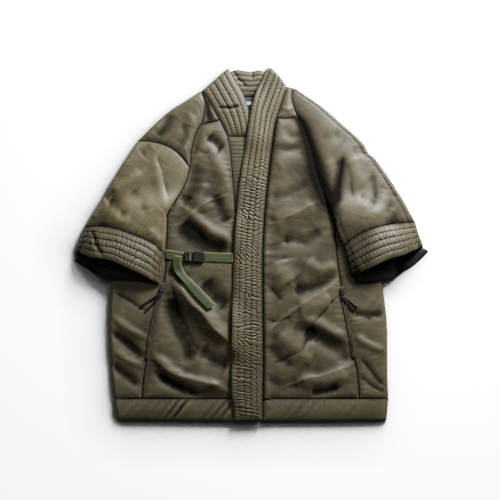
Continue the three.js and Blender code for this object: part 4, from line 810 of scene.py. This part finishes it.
# Right side panel: it runs from the pocket seam round the side edge, where it folds down to the
# back. The pocket's zip lies in its front seam.
SIDE_RIGHT_FOLDS = [
    (11, -3.0, [(-307, -192), (-270, -218), (-233, -250)]),
    (11, -3.0, [(-307, -263), (-275, -288), (-246, -310)]),
    (9, 2.4, [(-300, -160), (-262, -190), (-225, -205)]),
    (8, 2.0, [(-300, -232), (-270, -255), (-240, -268)]),
    (7, -2.0, [(-298, -110), (-262, -128), (-228, -150)], SHARP),
]
right_side_line = joined(stretch(right_hidden_side, 0.12, 1), right_side)
right_pocket_line = stretch(right_pocket_seam, 0.02, 1)
make_cloth("side_right",
           panel(back(right_side_line), back(right_pocket_line), across_hem(hem_seam, -302, -240)),
           (TURN, SEAM, SEAM, HEM), on=["back_panel"],
           relief=lambda p: crumple(p) + folds(p, SIDE_RIGHT_FOLDS) + gathers(p, "east", 14, 0.9, 12, 54))

# Right hem band: a strip along the foot of the right front and side, drawn in by its stitching, so
# that slanted pleats cross it.
PLEAT_PITCH, PLEAT_SLANT = 24.0, 0.8


def slanted_pleats(p):
    run = p.x - PLEAT_SLANT * p.y
    sway = 30 * noise(run, 0 * run, 55, 61) + 4 * noise(p.x, p.y, 20, 65)
    size = 2.6 * noise(run, 0 * run, 37, 62) ** 3
    return size * np.sin(2 * math.pi * (run + sway) / PLEAT_PITCH)


def hem_band(side, start_x, end_x, sides, start, end):
    """A hem band between two places along the hem, with a row of stitches at its top and its foot."""
    node = "hem_band_" + side
    low, high = max(start_x, hem[0, 0]), min(end_x, hem[-1, 0])
    plan = panel(south=across_hem(hem, low, high), north=across_hem(hem_seam, start_x, end_x))
    make_cloth(node, plan, sides, on=["back_hem_band"], also_on=["back_panel"], pitch=(2, 2),
               relief=lambda p: slanted_pleats(p) + 0.5 * crumple(p) + gathers(p, "north", 9, 0.8, 8, 63)
               + gathers(p, "south", 7, 0.5, 6, 64))
    stitched(f"hem_{side}_stitches", [row_beside(node, "north", 2.4, start, end),
                                      row_beside(node, "south", 5, start, end)], olive_thread)


hem_band("right", -302, -31, (TURN, SEAM, HEM, SEAM), 0.02, 0.99)

# Right collar strip and band: the front edge's strip on the wearer's right. It is quilted down to
# the chest, and runs on plain but puckered under the left band.
make_cloth("collar_right", panel(back(right_collar_outer), back(right_collar_inner)),
           (SEAM, HEM, SEAM, TURN), on=["back_panel", "neck_stand"], also_on=["neck_label"],
           pitch=(1.1, 1.8), rows=(CHANNELS, 1), shadows=QUILT_SHADOWS,
           relief=lambda p: channels(p.u) + puckers(p, "u", 71, height=0.45)
           + fold(p, 4, -2, [(-72, 300), (-50, 296), (-30, 304)]))
stitched("collar_right_stitches", rows_between("collar_right", "u", 0.01, 0.95), olive_thread)

make_cloth("band_right", panel(back(right_band_outer), back(right_band_inner)), (SEAM, HEM, HEM, SEAM),
           on=["back_panel"], also_on=["back_hem_band"], wall=5, pitch=(1.8, 1.8),
           relief=lambda p: puckers(p, "u", 72, pitch=8, height=0.8, count=1))

# Left front: yoke, long panel, side panel and hem band as on the right. The front's inner edge is
# stitched to the left band and lies over the plain strip of the right front.
LEFT_FOLDS = [
    (24, 3.2, [(66, 268), (62, 190), (64, 110), (78, 50)]),
    (4, 1.5, [(212, -58), (150, -108), (86, -146), (34, -196)], SHARP),
    (4, 1.4, [(224, -262), (150, -286), (60, -316)], SHARP),
    (4, 1.4, [(142, 92), (92, 62), (38, 44)], SHARP),
    (4, -1.3, [(196, -108), (132, -176), (112, -232), (52, -262)], SHARP),
    (9, -2.6, [(67, 264), (85, 238), (111, 238)]),
    (9, -3.2, [(40, 205), (85, 209), (116, 218)]),
    (16, 3.0, [(54, 176), (92, 184), (128, 172)]),
    (12, -3.0, [(40, 97), (85, 110), (129, 137)]),
    (16, 3.8, [(48, 48), (94, 62), (140, 86)]),
    (12, -3.4, [(67, 13), (116, 9), (155, 31)]),
    (18, 3.6, [(60, -34), (66, -62), (86, -88)]),
    (10, 2.4, [(120, -36), (155, -56), (190, -52)]),
    (12, -3.2, [(92, -102), (130, -92), (192, -62)]),
    (16, 2.6, [(104, -140), (140, -134), (176, -122)]),
    (12, -1.6, [(92, -178), (112, -188), (140, -204)]),
    (14, -3.8, [(112, -191), (155, -211), (200, -233), (221, -258)]),
    (11, 3.4, [(118, -164), (164, -184), (208, -204)]),
    (14, 2.6, [(60, -196), (96, -226), (130, -262)]),
    (12, 3.2, [(105, -303), (155, -294), (210, -280)]),
    (8, -3.0, [(129, -329), (165, -322), (195, -312)]),
    (9, -1.6, [(28, -226), (58, -244), (92, -268)]),
    (10, -1.6, [(28, -296), (66, -312), (104, -306)]),
    (7, -1.8, [(26, 62), (54, 52), (92, 56)], SHARP),
    (7, -1.8, [(24, -6), (50, -2), (84, 8)], SHARP),
    (7, -1.8, [(24, -82), (46, -96), (70, -122)], SHARP),
    (7, -1.8, [(24, -166), (56, -172), (90, -156)], SHARP),
]
left_yoke_seam = edge((56, 277), (76, 276), (101, 279))
left_collar_outer = edge((78, 346), (66, 307), (56, 277))
left_band_outer = edge((56, 277), (52, 265), (44, 209), (38, 161), (31, 96), (27, 40), (24, -33),
                       (26, -248), (25, HEM_Y), (25, -386))
left_pocket_seam = edge((181, 54), (185, 9), (190, -46), (197, -94), (206, -144), (217, -194),
                        (224, -246), (232, -281), (237, HEM_Y))
make_cloth("yoke_left", panel(back(left_collar_outer), back(left_armhole_upper), left_yoke_seam),
           (SEAM,) * 4, on=["back_panel"],
           relief=lambda p: 0.6 * crumple(p) + fold(p, 5, 2, [(60, 300), (78, 296), (92, 300)]))

ARMHOLE_TOP, ARMHOLE_FOOT, ARMHOLE_CREST = 300.0, 20.0, 7.0
LEFT_SHIFT = 400.0  # keeps the left side's unevenness from being the right side's


def armhole_shade(p, side):
    """Painted shade in the deep fold along the left armhole, where the raised sleeve keeps the light out.
    """
    down = ARMHOLE_TOP - p.y
    reach = 12 + (20 if side == "east" else 12) * smooth(down / 160)
    across = np.exp(-(p.away[side] / reach) ** 2)
    return 1.2 * across * smooth((p.y - ARMHOLE_FOOT) / 80) * smooth(down / 30)


def armhole_rise(p):
    """Beside the armhole the panel climbs to a crest close to the seam, turned away from the light."""
    away = p.away["east"]
    from_crest = (away - ARMHOLE_CREST) / np.where(away > ARMHOLE_CREST, 30, 6)
    rise = 2 * np.exp(-from_crest ** 2)
    return rise * smooth((p.y - ARMHOLE_FOOT) / 80) * smooth((ARMHOLE_TOP - p.y) / 40)


def left_front_shade(p):
    """Painted shade in the armhole's deep fold, a painted shadow line beside the band, and painted shade
    below the sleeve.
    """
    below_sleeve = smooth((p.x - 120) / 60) * smooth((p.y + 70) / 60) * smooth((60 - p.y) / 60)
    return armhole_shade(p, "east") + 0.95 * np.exp(-(p.away["west"] / 6) ** 2) + 0.35 * below_sleeve


make_cloth(
    "front_left",
    panel(back(to_y(left_band_outer, HEM_Y)), back(joined(left_armhole, left_pocket_seam)),
          across_hem(hem_seam, 25, 237), left_yoke_seam),
    (SEAM,) * 4, on=["back_panel", "band_right"], painted_shade=left_front_shade,
    relief=lambda p: crumple(p, 0.75, LEFT_SHIFT)
    + folds(p, LEFT_FOLDS, 1.25, 0.6 + 0.45 * smooth((60 - p.y) / 160)) + armhole_rise(p)
    + gathers(p, "west", 36, 1.8, 22, 81) + gathers(p, "west", 13, 0.8, 9, 85)
    + gathers(p, "east", 19, 0.9, 14, 82) + gathers(p, "south", 12, 0.9, 12, 83))
stitched("front_left_stitches", [row_beside("front_left", "north", 2.4)], olive_thread)

SIDE_LEFT_FOLDS = [
    (8, -3.0, [(237, -250), (262, -278), (291, -312)], SHARP),
    (8, -3.0, [(233, -290), (262, -308), (293, -330)], SHARP),
    (8, 2.4, [(230, -200), (260, -220), (292, -232)]),
    (9, -2.4, [(222, -150), (255, -158), (290, -150)]),
]
left_side_line = joined(stretch(left_hidden_side, 0.12, 1), left_side)
left_pocket_line = stretch(left_pocket_seam, 0.02, 1)
make_cloth("side_left", panel(back(left_pocket_line), back(left_side_line), across_hem(hem_seam, 237, 301)),
           (SEAM, TURN, SEAM, HEM), on=["back_panel"],
           relief=lambda p: crumple(p, 1.0, LEFT_SHIFT) + folds(p, SIDE_LEFT_FOLDS)
           + gathers(p, "west", 14, 0.9, 12, 84))
hem_band("left", 25, 301, (SEAM, TURN, HEM, SEAM), 0.01, 0.98)

# Left band: one long strip from the nape to the hem, padded and stitched into five channels. It
# laps over the edge of the right front, and its stitching puckers it all the way down.
left_band_inner = edge((31, 383), (11, 336), (-1, 298), (-5, 275), (-12, 226), (-21, 167), (-29, 108),
                       (-35, 40), (-39, -33), (-44, -248), (-43, -330), (-37, -386))
left_collar_top = edge((31, 383), (40, 388), (61, 371), (78, 346))
left_band_edge = joined(left_collar_outer, left_band_outer)


def band_relief(p):
    lower = smooth((200 - p.y) / 60)
    puckered = puckers(p, "u", 91, pitch=7.5, height=2.2, slant=8.0) * (0.25 + 0.75 * lower)
    return channels(p.u) * (1 - 0.3 * lower) + puckered + 1.6 * (noise(p.x, p.y, 36, 93) - 0.5)


make_cloth("band_left", panel(back(left_band_inner), back(left_band_edge), north=left_collar_top),
           (HEM, SEAM, HEM, TURN), on=["band_right", "front_right"],
           also_on=["back_panel", "back_hem_band", "neck_stand", "neck_label", "collar_right",
                    "hem_band_right"],
           pitch=(1.1, 1.5), rows=(CHANNELS, 1), shadows=QUILT_SHADOWS, relief=band_relief)
stitched("band_left_stitches", rows_between("band_left", "u", 0.005, 0.985), olive_thread)

# Right sleeve: a back layer on the surface and a front layer that folds round it at both edges, cut
# as a shoulder panel and a lighter elbow panel with a curved seam between them.
SLEEVE_LIFT = 9.0
SHOULDER_FOLDS = [
    (10, -3.2, [(-180, 285), (-184, 258), (-205, 235)]),
    (8, 3.0, [(-135, 283), (-118, 254), (-128, 238), (-149, 198)]),
    (8, -2.4, [(-150, 262), (-146, 232), (-160, 212)]),
    (7, 2.2, [(-200, 262), (-214, 245), (-228, 232)]),
]
ELBOW_FOLDS = [
    (9, 3.8, [(-305, 117), (-275, 136), (-239, 157)]),
    (8, 3.2, [(-353, 60), (-336, 80), (-317, 100)]),
    (9, -3.4, [(-311, 97), (-293, 86), (-276, 58)]),
    (8, 2.8, [(-213, 186), (-196, 124), (-185, 63)]),
    (6, -2.6, [(-205, 190), (-188, 124), (-178, 80)], SHARP),
    (6, 2.5, [(-222, 34), (-210, 20), (-197, 6)]),
    (9, -2.4, [(-245, 198), (-232, 206), (-218, 214)]),
    (5, -2.4, [(-283, 179), (-291, 158), (-300, 143)], SHARP),
    (5, -2.2, [(-322, 104), (-310, 108), (-300, 112)], SHARP),
    (8, -2.4, [(-262, 118), (-240, 96), (-228, 70)]),
    (8, 2.4, [(-300, 66), (-285, 54), (-262, 46)]),
]
right_shoulder = edge((-117, 333), (-146, 314), (-178, 294), (-214, 262), (-250, 226))
right_elbow_outer = edge((-250, 226), (-278, 183), (-303, 144), (-323, 108), (-366, 38))
right_sleeve_fold = edge((-185, 63), (-185, 42), (-187, 9), (-192, -20))
right_elbow_seam = edge((-250, 226), (-223, 225), (-199, 220), (-174, 209), (-154, 192), (-135, 167))
right_cuff_seam = edge((-366, 38), (-338, 40), (-291, 34), (-260, 23), (-229, 11), (-206, -4), (-192, -20))


def sleeve_lift(u, v):
    return SLEEVE_LIFT * np.sin(math.pi * u) * smooth(1 - v)


right_inner = joined(right_armhole, right_underarm, right_sleeve_fold)
sleeve_back_right_inner = back(stretch(right_inner, 0.1, 1))
sleeve_back_right_outer = back(stretch(joined(right_shoulder, right_elbow_outer), 0.09, 1))
make_cloth("sleeve_right_back", panel(sleeve_back_right_outer, sleeve_back_right_inner, right_cuff_seam),
           (TUCKED, (length(right_sleeve_fold) + 12, TUCKED, LOOSE), SEAM, HEM), on=["side_right"],
           pitch=(6, 6))

make_cloth("sleeve_right_shoulder", panel(back(right_shoulder), back(right_armhole), right_elbow_seam),
           (TURN, SEAM, SEAM, SEAM), on=["sleeve_right_back"],
           relief=lambda p: crumple(p, 0.8) + folds(p, SHOULDER_FOLDS, 1.3, 0.55)
           + gathers(p, "south", 13, 0.9, 12, 101) + gathers(p, "east", 14, 1.0, 12, 102))

elbow_nylon = nylon_material("elbow_nylon", (0.09, 0.08, 0.044), (0.155, 0.14, 0.08), 0.45, 3.0)
make_cloth("sleeve_right_elbow",
           panel(back(right_elbow_outer), back(joined(right_underarm, right_sleeve_fold)), right_cuff_seam,
                 right_elbow_seam),
           (TURN, (length(right_sleeve_fold), TURN, SEAM), SEAM, SEAM), on=["sleeve_right_back"],
           turn_on=["side_right", "front_right"], material=elbow_nylon,
           lift=sleeve_lift,
           relief=lambda p: crumple(p, 0.7) + folds(p, ELBOW_FOLDS, 1.5, 0.6)
           + gathers(p, "south", 12, 1.2, 14, 103) + gathers(p, "north", 13, 0.9, 12, 104)
           + gathers(p, "west", 11, 0.8, 12, 105))
pale_thread = thread_material("pale_olive_thread", (0.22, 0.2, 0.12))
stitched("elbow_stitches", [row_beside("sleeve_right_elbow", "north", inset, 0.04) for inset in (1.8, 6.5)],
         pale_thread)

# Right cuff: a band round the sleeve's mouth with five quilted channels. It stands open, so that
# its dark inside shows between the front layer and the back one.
CUFF_MOUTH = 22.0


def cuff_lift(u, v):
    return (CUFF_MOUTH * (1 - v) + SLEEVE_LIFT * v) * np.sin(math.pi * np.clip(u, 0, 1)) ** 0.6


def cuff_relief(p):
    gather = fold(p, 5, -2.2, [(-350, 30), (-338, 0), (-322, -28)])
    return (channels(p.v) + puckers(p, "v", 111, pitch=8, height=0.8)
            + 2.0 * (noise(p.x, p.y, 30, 113) - 0.5) + gather)


def cuff_shade(p):
    """Painted shade: the inner half of the left cuff turns down beside the body, out of the light, and
    every cuff is a little darker.
    """
    return 0.5 * smooth((286 - p.x) / 40) * (p.x > 0) + 0.1


def add_cuff(side, back_plan, front_plan):
    make_cloth(f"cuff_{side}_back", back_plan, (HEM, HEM, HEM, LOOSE), on=[f"side_{side}"],
               material=cuff_inside, pitch=(2.4, 1.8),
               relief=lambda p: 0.6 * channels(p.v))
    make_cloth(f"cuff_{side}_front", front_plan, (TURN, TURN, HEM, SEAM), on=[f"cuff_{side}_back"],
               turn_on=[f"side_{side}", f"front_{side}"], lift=cuff_lift, pitch=(1.6, 1.0),
               rows=(1, CHANNELS), shadows=QUILT_SHADOWS, relief=cuff_relief, painted_shade=cuff_shade)
    stitched(f"cuff_{side}_stitches", rows_between(f"cuff_{side}_front", "v", 0.06, 0.94), olive_thread)


cuff_inside = nylon_material("cuff_inside", (0.005, 0.0045, 0.003), (0.009, 0.008, 0.006), 0.75, 5.0)
add_cuff(
    "right",
    panel(back(edge((-356, 39), (-364, 15), (-380, -20), (-388, -37))),
          back(edge((-203, -7), (-209, -41), (-212, -61), (-214, -86))),
          edge((-388, -37), (-362, -54), (-338, -68), (-308, -77), (-261, -80), (-214, -86)),
          edge((-356, 39), (-338, 40), (-291, 34), (-260, 23), (-229, 11), (-203, -7))),
    panel(back(edge((-366, 38), (-374, 17), (-390, -21))),
          back(edge((-192, -20), (-199, -41), (-201, -61), (-200, -88))),
          edge((-390, -21), (-376, -20), (-348, -29), (-307, -35), (-268, -52), (-229, -71), (-200, -88)),
          right_cuff_seam))

# Left sleeve: its front is one panel from the shoulder to the cuff, top-stitched along its outer
# edge, with one deep V-shaped fold where it bends.
OUTER_STITCH = 11.0
LEFT_SLEEVE_FOLDS = [
    (12, -3.6, [(107, 262), (136, 186), (166, 104)]),
    (16, 3.4, [(122, 302), (164, 251), (200, 212)]),
    (6, -8.0, [(203, 190), (193, 140), (184, 86)], SHARP),
    (13, 3.8, [(212, 188), (232, 150), (252, 128)]),
    (7, -2.6, [(205, 190), (216, 140), (224, 96)], SHARP),
    (10, 3.0, [(170, 190), (172, 150), (172, 104)]),
    (10, -2.4, [(150, 240), (182, 232), (208, 216)]),
    (8, -2.6, [(258, 199), (240, 205), (222, 204)]),
    (7, 2.8, [(294, 108), (288, 84), (274, 58)]),
    (6, 2.6, [(311, 80), (302, 66), (291, 58)]),
    (8, 2.8, [(240, 86), (254, 76), (249, 54)]),
    (6, -2.6, [(236, 104), (256, 92), (266, 70)]),
    (6, -2.4, [(268, 150), (274, 112), (264, 80)]),
    (6, -2.0, [(318, 104), (300, 118), (282, 124)], SHARP),
    (8, -2.2, [(232, 216), (205, 236), (180, 240)]),
]
left_sleeve_fold = edge((181, 54), (184, 31), (192, 11), (200, -5))
left_sleeve_outer = edge((98, 342), (120, 327), (148, 308), (195, 268), (246, 221), (258, 200), (271, 189),
                         (325, 111), (360, 49))
left_cuff_seam = edge((200, -5), (218, 11), (240, 25), (269, 37), (294, 42), (328, 47), (360, 49))
left_inner = joined(left_armhole_upper, left_armhole, left_sleeve_fold)
sleeve_back_left_inner = back(stretch(left_inner, 0.1, 1))
sleeve_back_left_outer = back(stretch(left_sleeve_outer, 0.09, 1))
make_cloth("sleeve_left_back", panel(sleeve_back_left_inner, sleeve_back_left_outer, left_cuff_seam),
           ((length(left_sleeve_fold) + 12, TUCKED, LOOSE), TUCKED, SEAM, HEM), on=["side_left"],
           pitch=(6, 6))


def left_sleeve_shade(p):
    """Painted shade in the armhole's deep fold, along the deep V-shaped fold, and where the cuff turns
    down.
    """
    return (armhole_shade(p, "west") + fold(p, 11, 0.45, [(200, 186), (191, 140), (184, 86)])
            + 0.45 * smooth((292 - p.x) / 30) * smooth((64 - p.y) / 30))


make_cloth("sleeve_left_front", panel(back(left_inner), back(left_sleeve_outer), left_cuff_seam),
           ((length(left_sleeve_fold), TURN, SEAM), TURN, SEAM, SEAM), on=["sleeve_left_back"],
           turn_on=["side_left", "front_left"], lift=sleeve_lift, painted_shade=left_sleeve_shade,
           relief=lambda p: crumple(p, 0.4, LEFT_SHIFT) + folds(p, LEFT_SLEEVE_FOLDS, 1.5, 0.42)
           + gathers(p, "south", 12, 1.2, 14, 121) + gathers(p, "west", 14, 1.0, 12, 122)
           + gathers(p, "east", 11, 0.8, 12, 123)
           - 1.5 * np.exp(-((p.away["east"] - OUTER_STITCH) / 1.6) ** 2))
stitched("sleeve_left_stitches", [row_beside("sleeve_left_front", "east", OUTER_STITCH)], pale_thread)

add_cuff(
    "left",
    panel(back(edge((210, 4), (216, -27), (223, -55), (226, -85))),
          back(edge((350, 48), (357, 24), (366, 0), (390, -14))),
          edge((226, -85), (252, -85), (289, -78), (319, -68), (353, -49), (378, -27), (390, -14)),
          edge((210, 4), (240, 25), (269, 37), (294, 42), (328, 47), (350, 48))),
    panel(back(edge((200, -5), (206, -27), (213, -57), (218, -72))),
          back(edge((360, 49), (367, 25), (378, -4))),
          edge((218, -72), (235, -63), (269, -46), (302, -31), (328, -24), (353, -14), (378, -4)),
          left_cuff_seam))

# Belt: 20 mm webbing, one length sewn into the right pocket seam and one under the left band. The
# first goes through the buckle's bar, and its free end hangs down over the right front.
WEBBING, WEBBING_THICK, BELT_Y = 20.0, 1.6, -28.0
BUCKLE_X, BUCKLE_LENGTH = -125.0, 44.0


def webbing_material():
    """Ribbed webbing: ribs along it, a little weft across them, and a pale yellow-green selvedge."""
    material, tree, shader = new_material("olive_webbing")
    where = from_attribute(tree, "cloth", "Vector")
    from_edge = add(tree, "ShaderNodeSeparateXYZ", {0: where}).outputs["Z"]
    inwards = add(tree, "ShaderNodeCombineXYZ", {"X": from_edge}).outputs[0]
    ribs = add(tree, "ShaderNodeTexWave", {"Vector": inwards, "Scale": 120},
               bands_direction="X").outputs["Fac"]
    weft = add(tree, "ShaderNodeTexNoise", {"Vector": where, "Scale": 700}).outputs["Fac"]
    selvedge = add(tree, "ShaderNodeMapRange", {"Value": from_edge, "From Min": 0.0004, "From Max": 0.0022},
                   interpolation_type="SMOOTHSTEP").outputs["Result"]
    middle = mixed(tree, ribs, (0.012, 0.018, 0.005, 1), (0.05, 0.068, 0.016, 1))
    feed(shader, {"Base Color": mixed(tree, selvedge, (0.15, 0.19, 0.045, 1), middle),
                  "Normal": bumped(tree, calc(tree, "ADD", weft, ribs), 0.6, 0.0005), "Roughness": 0.62})
    return material


def strap_plan(start, end):
    return panel(*(edge((x, y - WEBBING / 2), (x, y + WEBBING / 2)) for x, y in (start, end)))


olive_webbing = webbing_material()
selvedge_green = grainy_material("selvedge_green", FINE_SCALE, (0.07, 0.09, 0.02), (0.17, 0.21, 0.05), 0.65)
plug_end, socket_end = (BUCKLE_X + side * (BUCKLE_LENGTH / 2 + LAYER_GAP) for side in (-1, 1))
tail_left = back(edge((-168, -25), (-171, -36), (-168, -59), (-151, -79), (-125, -111), (-95, -142)))
tail_right = back(edge((-152, -27), (-154, -42), (-146, -61), (-132, -76), (-108, -100), (-78, -131)))
for node, plan, also_on in (
        ("belt_strap_right", strap_plan((-187, -22), (plug_end, BELT_Y)), []),
        ("belt_strap_left", strap_plan((socket_end, BELT_Y), (-41, -30)), []),
        ("belt_tail", panel(tail_left, tail_right), ["belt_strap_right"])):
    make_cloth(node, plan, (HEM,) * 4, on=["front_right"], also_on=also_on, material=olive_webbing,
               ending="_webbing", wall=WEBBING_THICK, seam_wall=WEBBING_THICK, near=8.0,
               blur=6.0, pitch=(1.6, 1.6))

# Buckle: a black side-release buckle, its socket on the left strap and its plug on the right one.
# Small pads on it are the grips of the prongs, the frame of the bar and the ribs of the socket.
PAD_ROOT = 0.5


def paint(names, material):
    """The solids of these nodes show as they are, in this material."""
    for name in names:
        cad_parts[name].data.materials.clear()
        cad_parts[name].data.materials.append(material)


def top_of(name):
    return max(corner[2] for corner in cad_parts[name].bound_box) / MM


def raised_pads(name, pads, material):
    """Flat pads with sloped sides as one mesh. Each has its spans of x and y, the face that it stands
    on, how high it rises and how far its sides lean in."""
    square = ((0, 0), (1, 0), (1, 1), (0, 1))
    walls = [(k, (k + 1) % 4, (k + 1) % 4 + 4, k + 4) for k in range(4)]
    corners, faces = [], []
    for x, y, face, rise, lean in pads:
        faces += [[n + len(corners) for n in ring] for ring in ((3, 2, 1, 0), (4, 5, 6, 7), *walls)]
        corners += [(x[i], y[j], face - PAD_ROOT) for i, j in square]
        corners += [(x[i] + lean * (1 - 2 * i), y[j] + lean * (1 - 2 * j), face + rise) for i, j in square]
    mesh = bpy.data.meshes.new(name)
    mesh.from_pydata([[MM * value for value in corner] for corner in corners], [], faces)
    mesh.materials.append(material)
    piece = in_scene(name, mesh)
    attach(piece, "jacket")


black_plastic = grainy_material("black_plastic", 2600, (0.008,) * 3, (0.016,) * 3, 0.42, relief=0.25)
paint(("buckle_socket", "buckle_plug", "puller_right_1", "puller_right_2", "puller_left_1",
       "puller_left_2"), black_plastic)
plug, socket = top_of("buckle_plug"), top_of("buckle_socket")
raised_pads("buckle_details", [
    ((-143.5, -135.6), (-37, -35), plug, 0.7, 0.5), ((-143.5, -135.6), (-21, -19), plug, 0.7, 0.5),
    ((-145.5, -143), (-37, -19), plug, 0.7, 0.5), ((-126, -114), (-38.5, -35.5), socket, 0.8, 0.6),
    ((-126, -114), (-20.5, -17.5), socket, 0.8, 0.6), ((-112, -110.8), (-34, -22), socket, 0.5, 0.3),
    ((-109, -107.8), (-34, -22), socket, 0.5, 0.3)], black_plastic)
raised_pads("belt_loop_webbing", [((-135, -132), (-36.5, -19.5), plug, 0.5, 0.4)], selvedge_green)

# Pocket zips: a black tape between two narrow lips of the jacket's nylon, with its teeth closed down
# the middle. It is stitched into the pocket seam of each side.
ZIP_WIDTH, ZIP_THICK, TOOTH_PITCH = 7.0, 1.4, 1.5
TOOTH_ROWS = (0.42, 0.58)  # shares of the zip's width


def beside_line(line, distance):
    along = at(line, np.linspace(0.01, 1, 240)) - at(line, np.linspace(0, 0.99, 240))
    along /= np.linalg.norm(along, axis=-1, keepdims=True)
    return at(line, np.linspace(0, 1, 240)) + distance * np.stack([-along[:, 1], along[:, 0]], -1)


def zip_lips(p):
    """Two rounded lips of cloth, with a narrow slot between them where the teeth lie."""
    from_middle = np.abs(p.u - 0.5) * ZIP_WIDTH
    return 1.1 * np.sin(math.pi * np.clip((from_middle - 0.9) / 2.6, 0, 1)) ** 0.7 - 0.3


for side, pocket_seam, top_y, low_y in (("right", right_pocket_seam, -86, -250),
                                        ("left", left_pocket_seam, -94, -246)):
    zip_line = stretch(pocket_seam, share_at_y(pocket_seam, low_y), share_at_y(pocket_seam, top_y))
    zip_plan = panel(beside_line(zip_line, ZIP_WIDTH / 2), beside_line(zip_line, -ZIP_WIDTH / 2))
    make_cloth(f"zip_{side}", zip_plan, (LOOSE,) * 4, also_on=[f"front_{side}", f"side_{side}"],
               ending="_lips", held=None, wall=ZIP_THICK, seam_wall=ZIP_THICK, near=4.0, blur=2.0,
               pitch=(0.5, 2.0), relief=zip_lips, shadows=1.2)
    down = np.linspace(0.01, 0.99, 500)
    tooth_rows = [on_top(f"zip_{side}", 0 * down + k, down, above=0.3) for k in TOOTH_ROWS]
    stitched(f"zip_{side}_teeth", tooth_rows, black_plastic, pitch=TOOTH_PITCH,
             long=1.1, thick=0.75)

# Zip sliders and the links that hang from them, in dark painted metal. A fine grain dulls it.
gunmetal, metal_tree, metal_shader = new_material("gunmetal")
worn = add(metal_tree, "ShaderNodeGroup", node_tree=fine_grain).outputs["Mask"]
feed(metal_shader, {"Roughness": ranged(metal_tree, worn, 0.25, 0.45), "Metallic": 0.9,
                    "Base Color": (0.12, 0.12, 0.125, 1)})
paint(("slider_right", "slider_left", "pull_link_right", "pull_link_left"), gunmetal)

# White paper that the jacket lies on. To the camera it is lit brighter than white, with a painted
# shadow that darkens it softly beside the cloth on the side away from the key light.
FLOOR_HALF = 3.0
TOWARDS_KEY = (0.55, 0.78, 0.3)
floor_mesh = bpy.data.meshes.new("paper")
floor_mesh.from_pydata([(-FLOOR_HALF, -FLOOR_HALF, 0), (FLOOR_HALF, -FLOOR_HALF, 0),
                        (FLOOR_HALF, FLOOR_HALF, 0), (-FLOOR_HALF, FLOOR_HALF, 0)], [], [(0, 1, 2, 3)])
paper, paper_tree, paper_shader = new_material("white_paper")
feed(paper_shader, {"Base Color": (0.6, 0.6, 0.6, 1), "Roughness": 0.9})
# painted shadow: occlusion turned towards the key light darkens the paper beside the cloth
tilted = add(paper_tree, "ShaderNodeCombineXYZ", dict(zip("XYZ", TOWARDS_KEY)))
painted_shadow_ao = add(paper_tree, "ShaderNodeAmbientOcclusion", {"Distance": 0.11, "Normal": tilted.outputs[0]},
                 samples=12)
falloff = calc(paper_tree, "POWER", painted_shadow_ao.outputs["AO"], 15.0)
paper_tone_with_painted_shadow = scaled(paper_tree, (1, 1, 1), ranged(paper_tree, falloff, 0.2, 13.0))
bright = add(paper_tree, "ShaderNodeBsdfDiffuse", {"Color": paper_tone_with_painted_shadow})
to_camera = add(paper_tree, "ShaderNodeLightPath").outputs["Is Camera Ray"]
seen = add(paper_tree, "ShaderNodeMixShader", {"Fac": to_camera, 1: paper_shader.outputs[0],
                                               2: bright.outputs[0]})
feed(paper_tree.nodes["Material Output"], {"Surface": seen.outputs[0]})
floor_mesh.materials.append(paper)
in_scene("paper", floor_mesh)


# Studio: one soft key from the upper right, a weak fill from the top, and a pale surround.
def soft_light(name, position, size, power):
    data = bpy.data.lights.new(name, "AREA")
    data.shape, data.size, data.energy = "SQUARE", size, power
    lamp = in_scene(name, data)
    lamp.location = position
    lamp.rotation_euler = Vector(position).to_track_quat("Z", "Y").to_euler()


soft_light("key", (0.6, 1.02, 0.69), 0.4, 53)
soft_light("top", (-0.1, 1.0, 1.9), 0.8, 8)
world = bpy.data.worlds.new("surround")
bpy.context.scene.world = world
world.use_nodes = True
feed(world.node_tree.nodes["Background"], {"Color": (1, 1, 1, 1), "Strength": 0.07})

# Camera straight above, as the jacket was shown.
VIEW_WIDTH, CAMERA_HEIGHT, SENSOR = 1.10, 2.6, 36
camera_data = bpy.data.cameras.new("camera")
camera_data.sensor_width, camera_data.lens = SENSOR, SENSOR * CAMERA_HEIGHT / VIEW_WIDTH
camera = in_scene("camera", camera_data)
camera.location = (-0.0032, -0.0129, CAMERA_HEIGHT)
bpy.context.scene.camera = camera
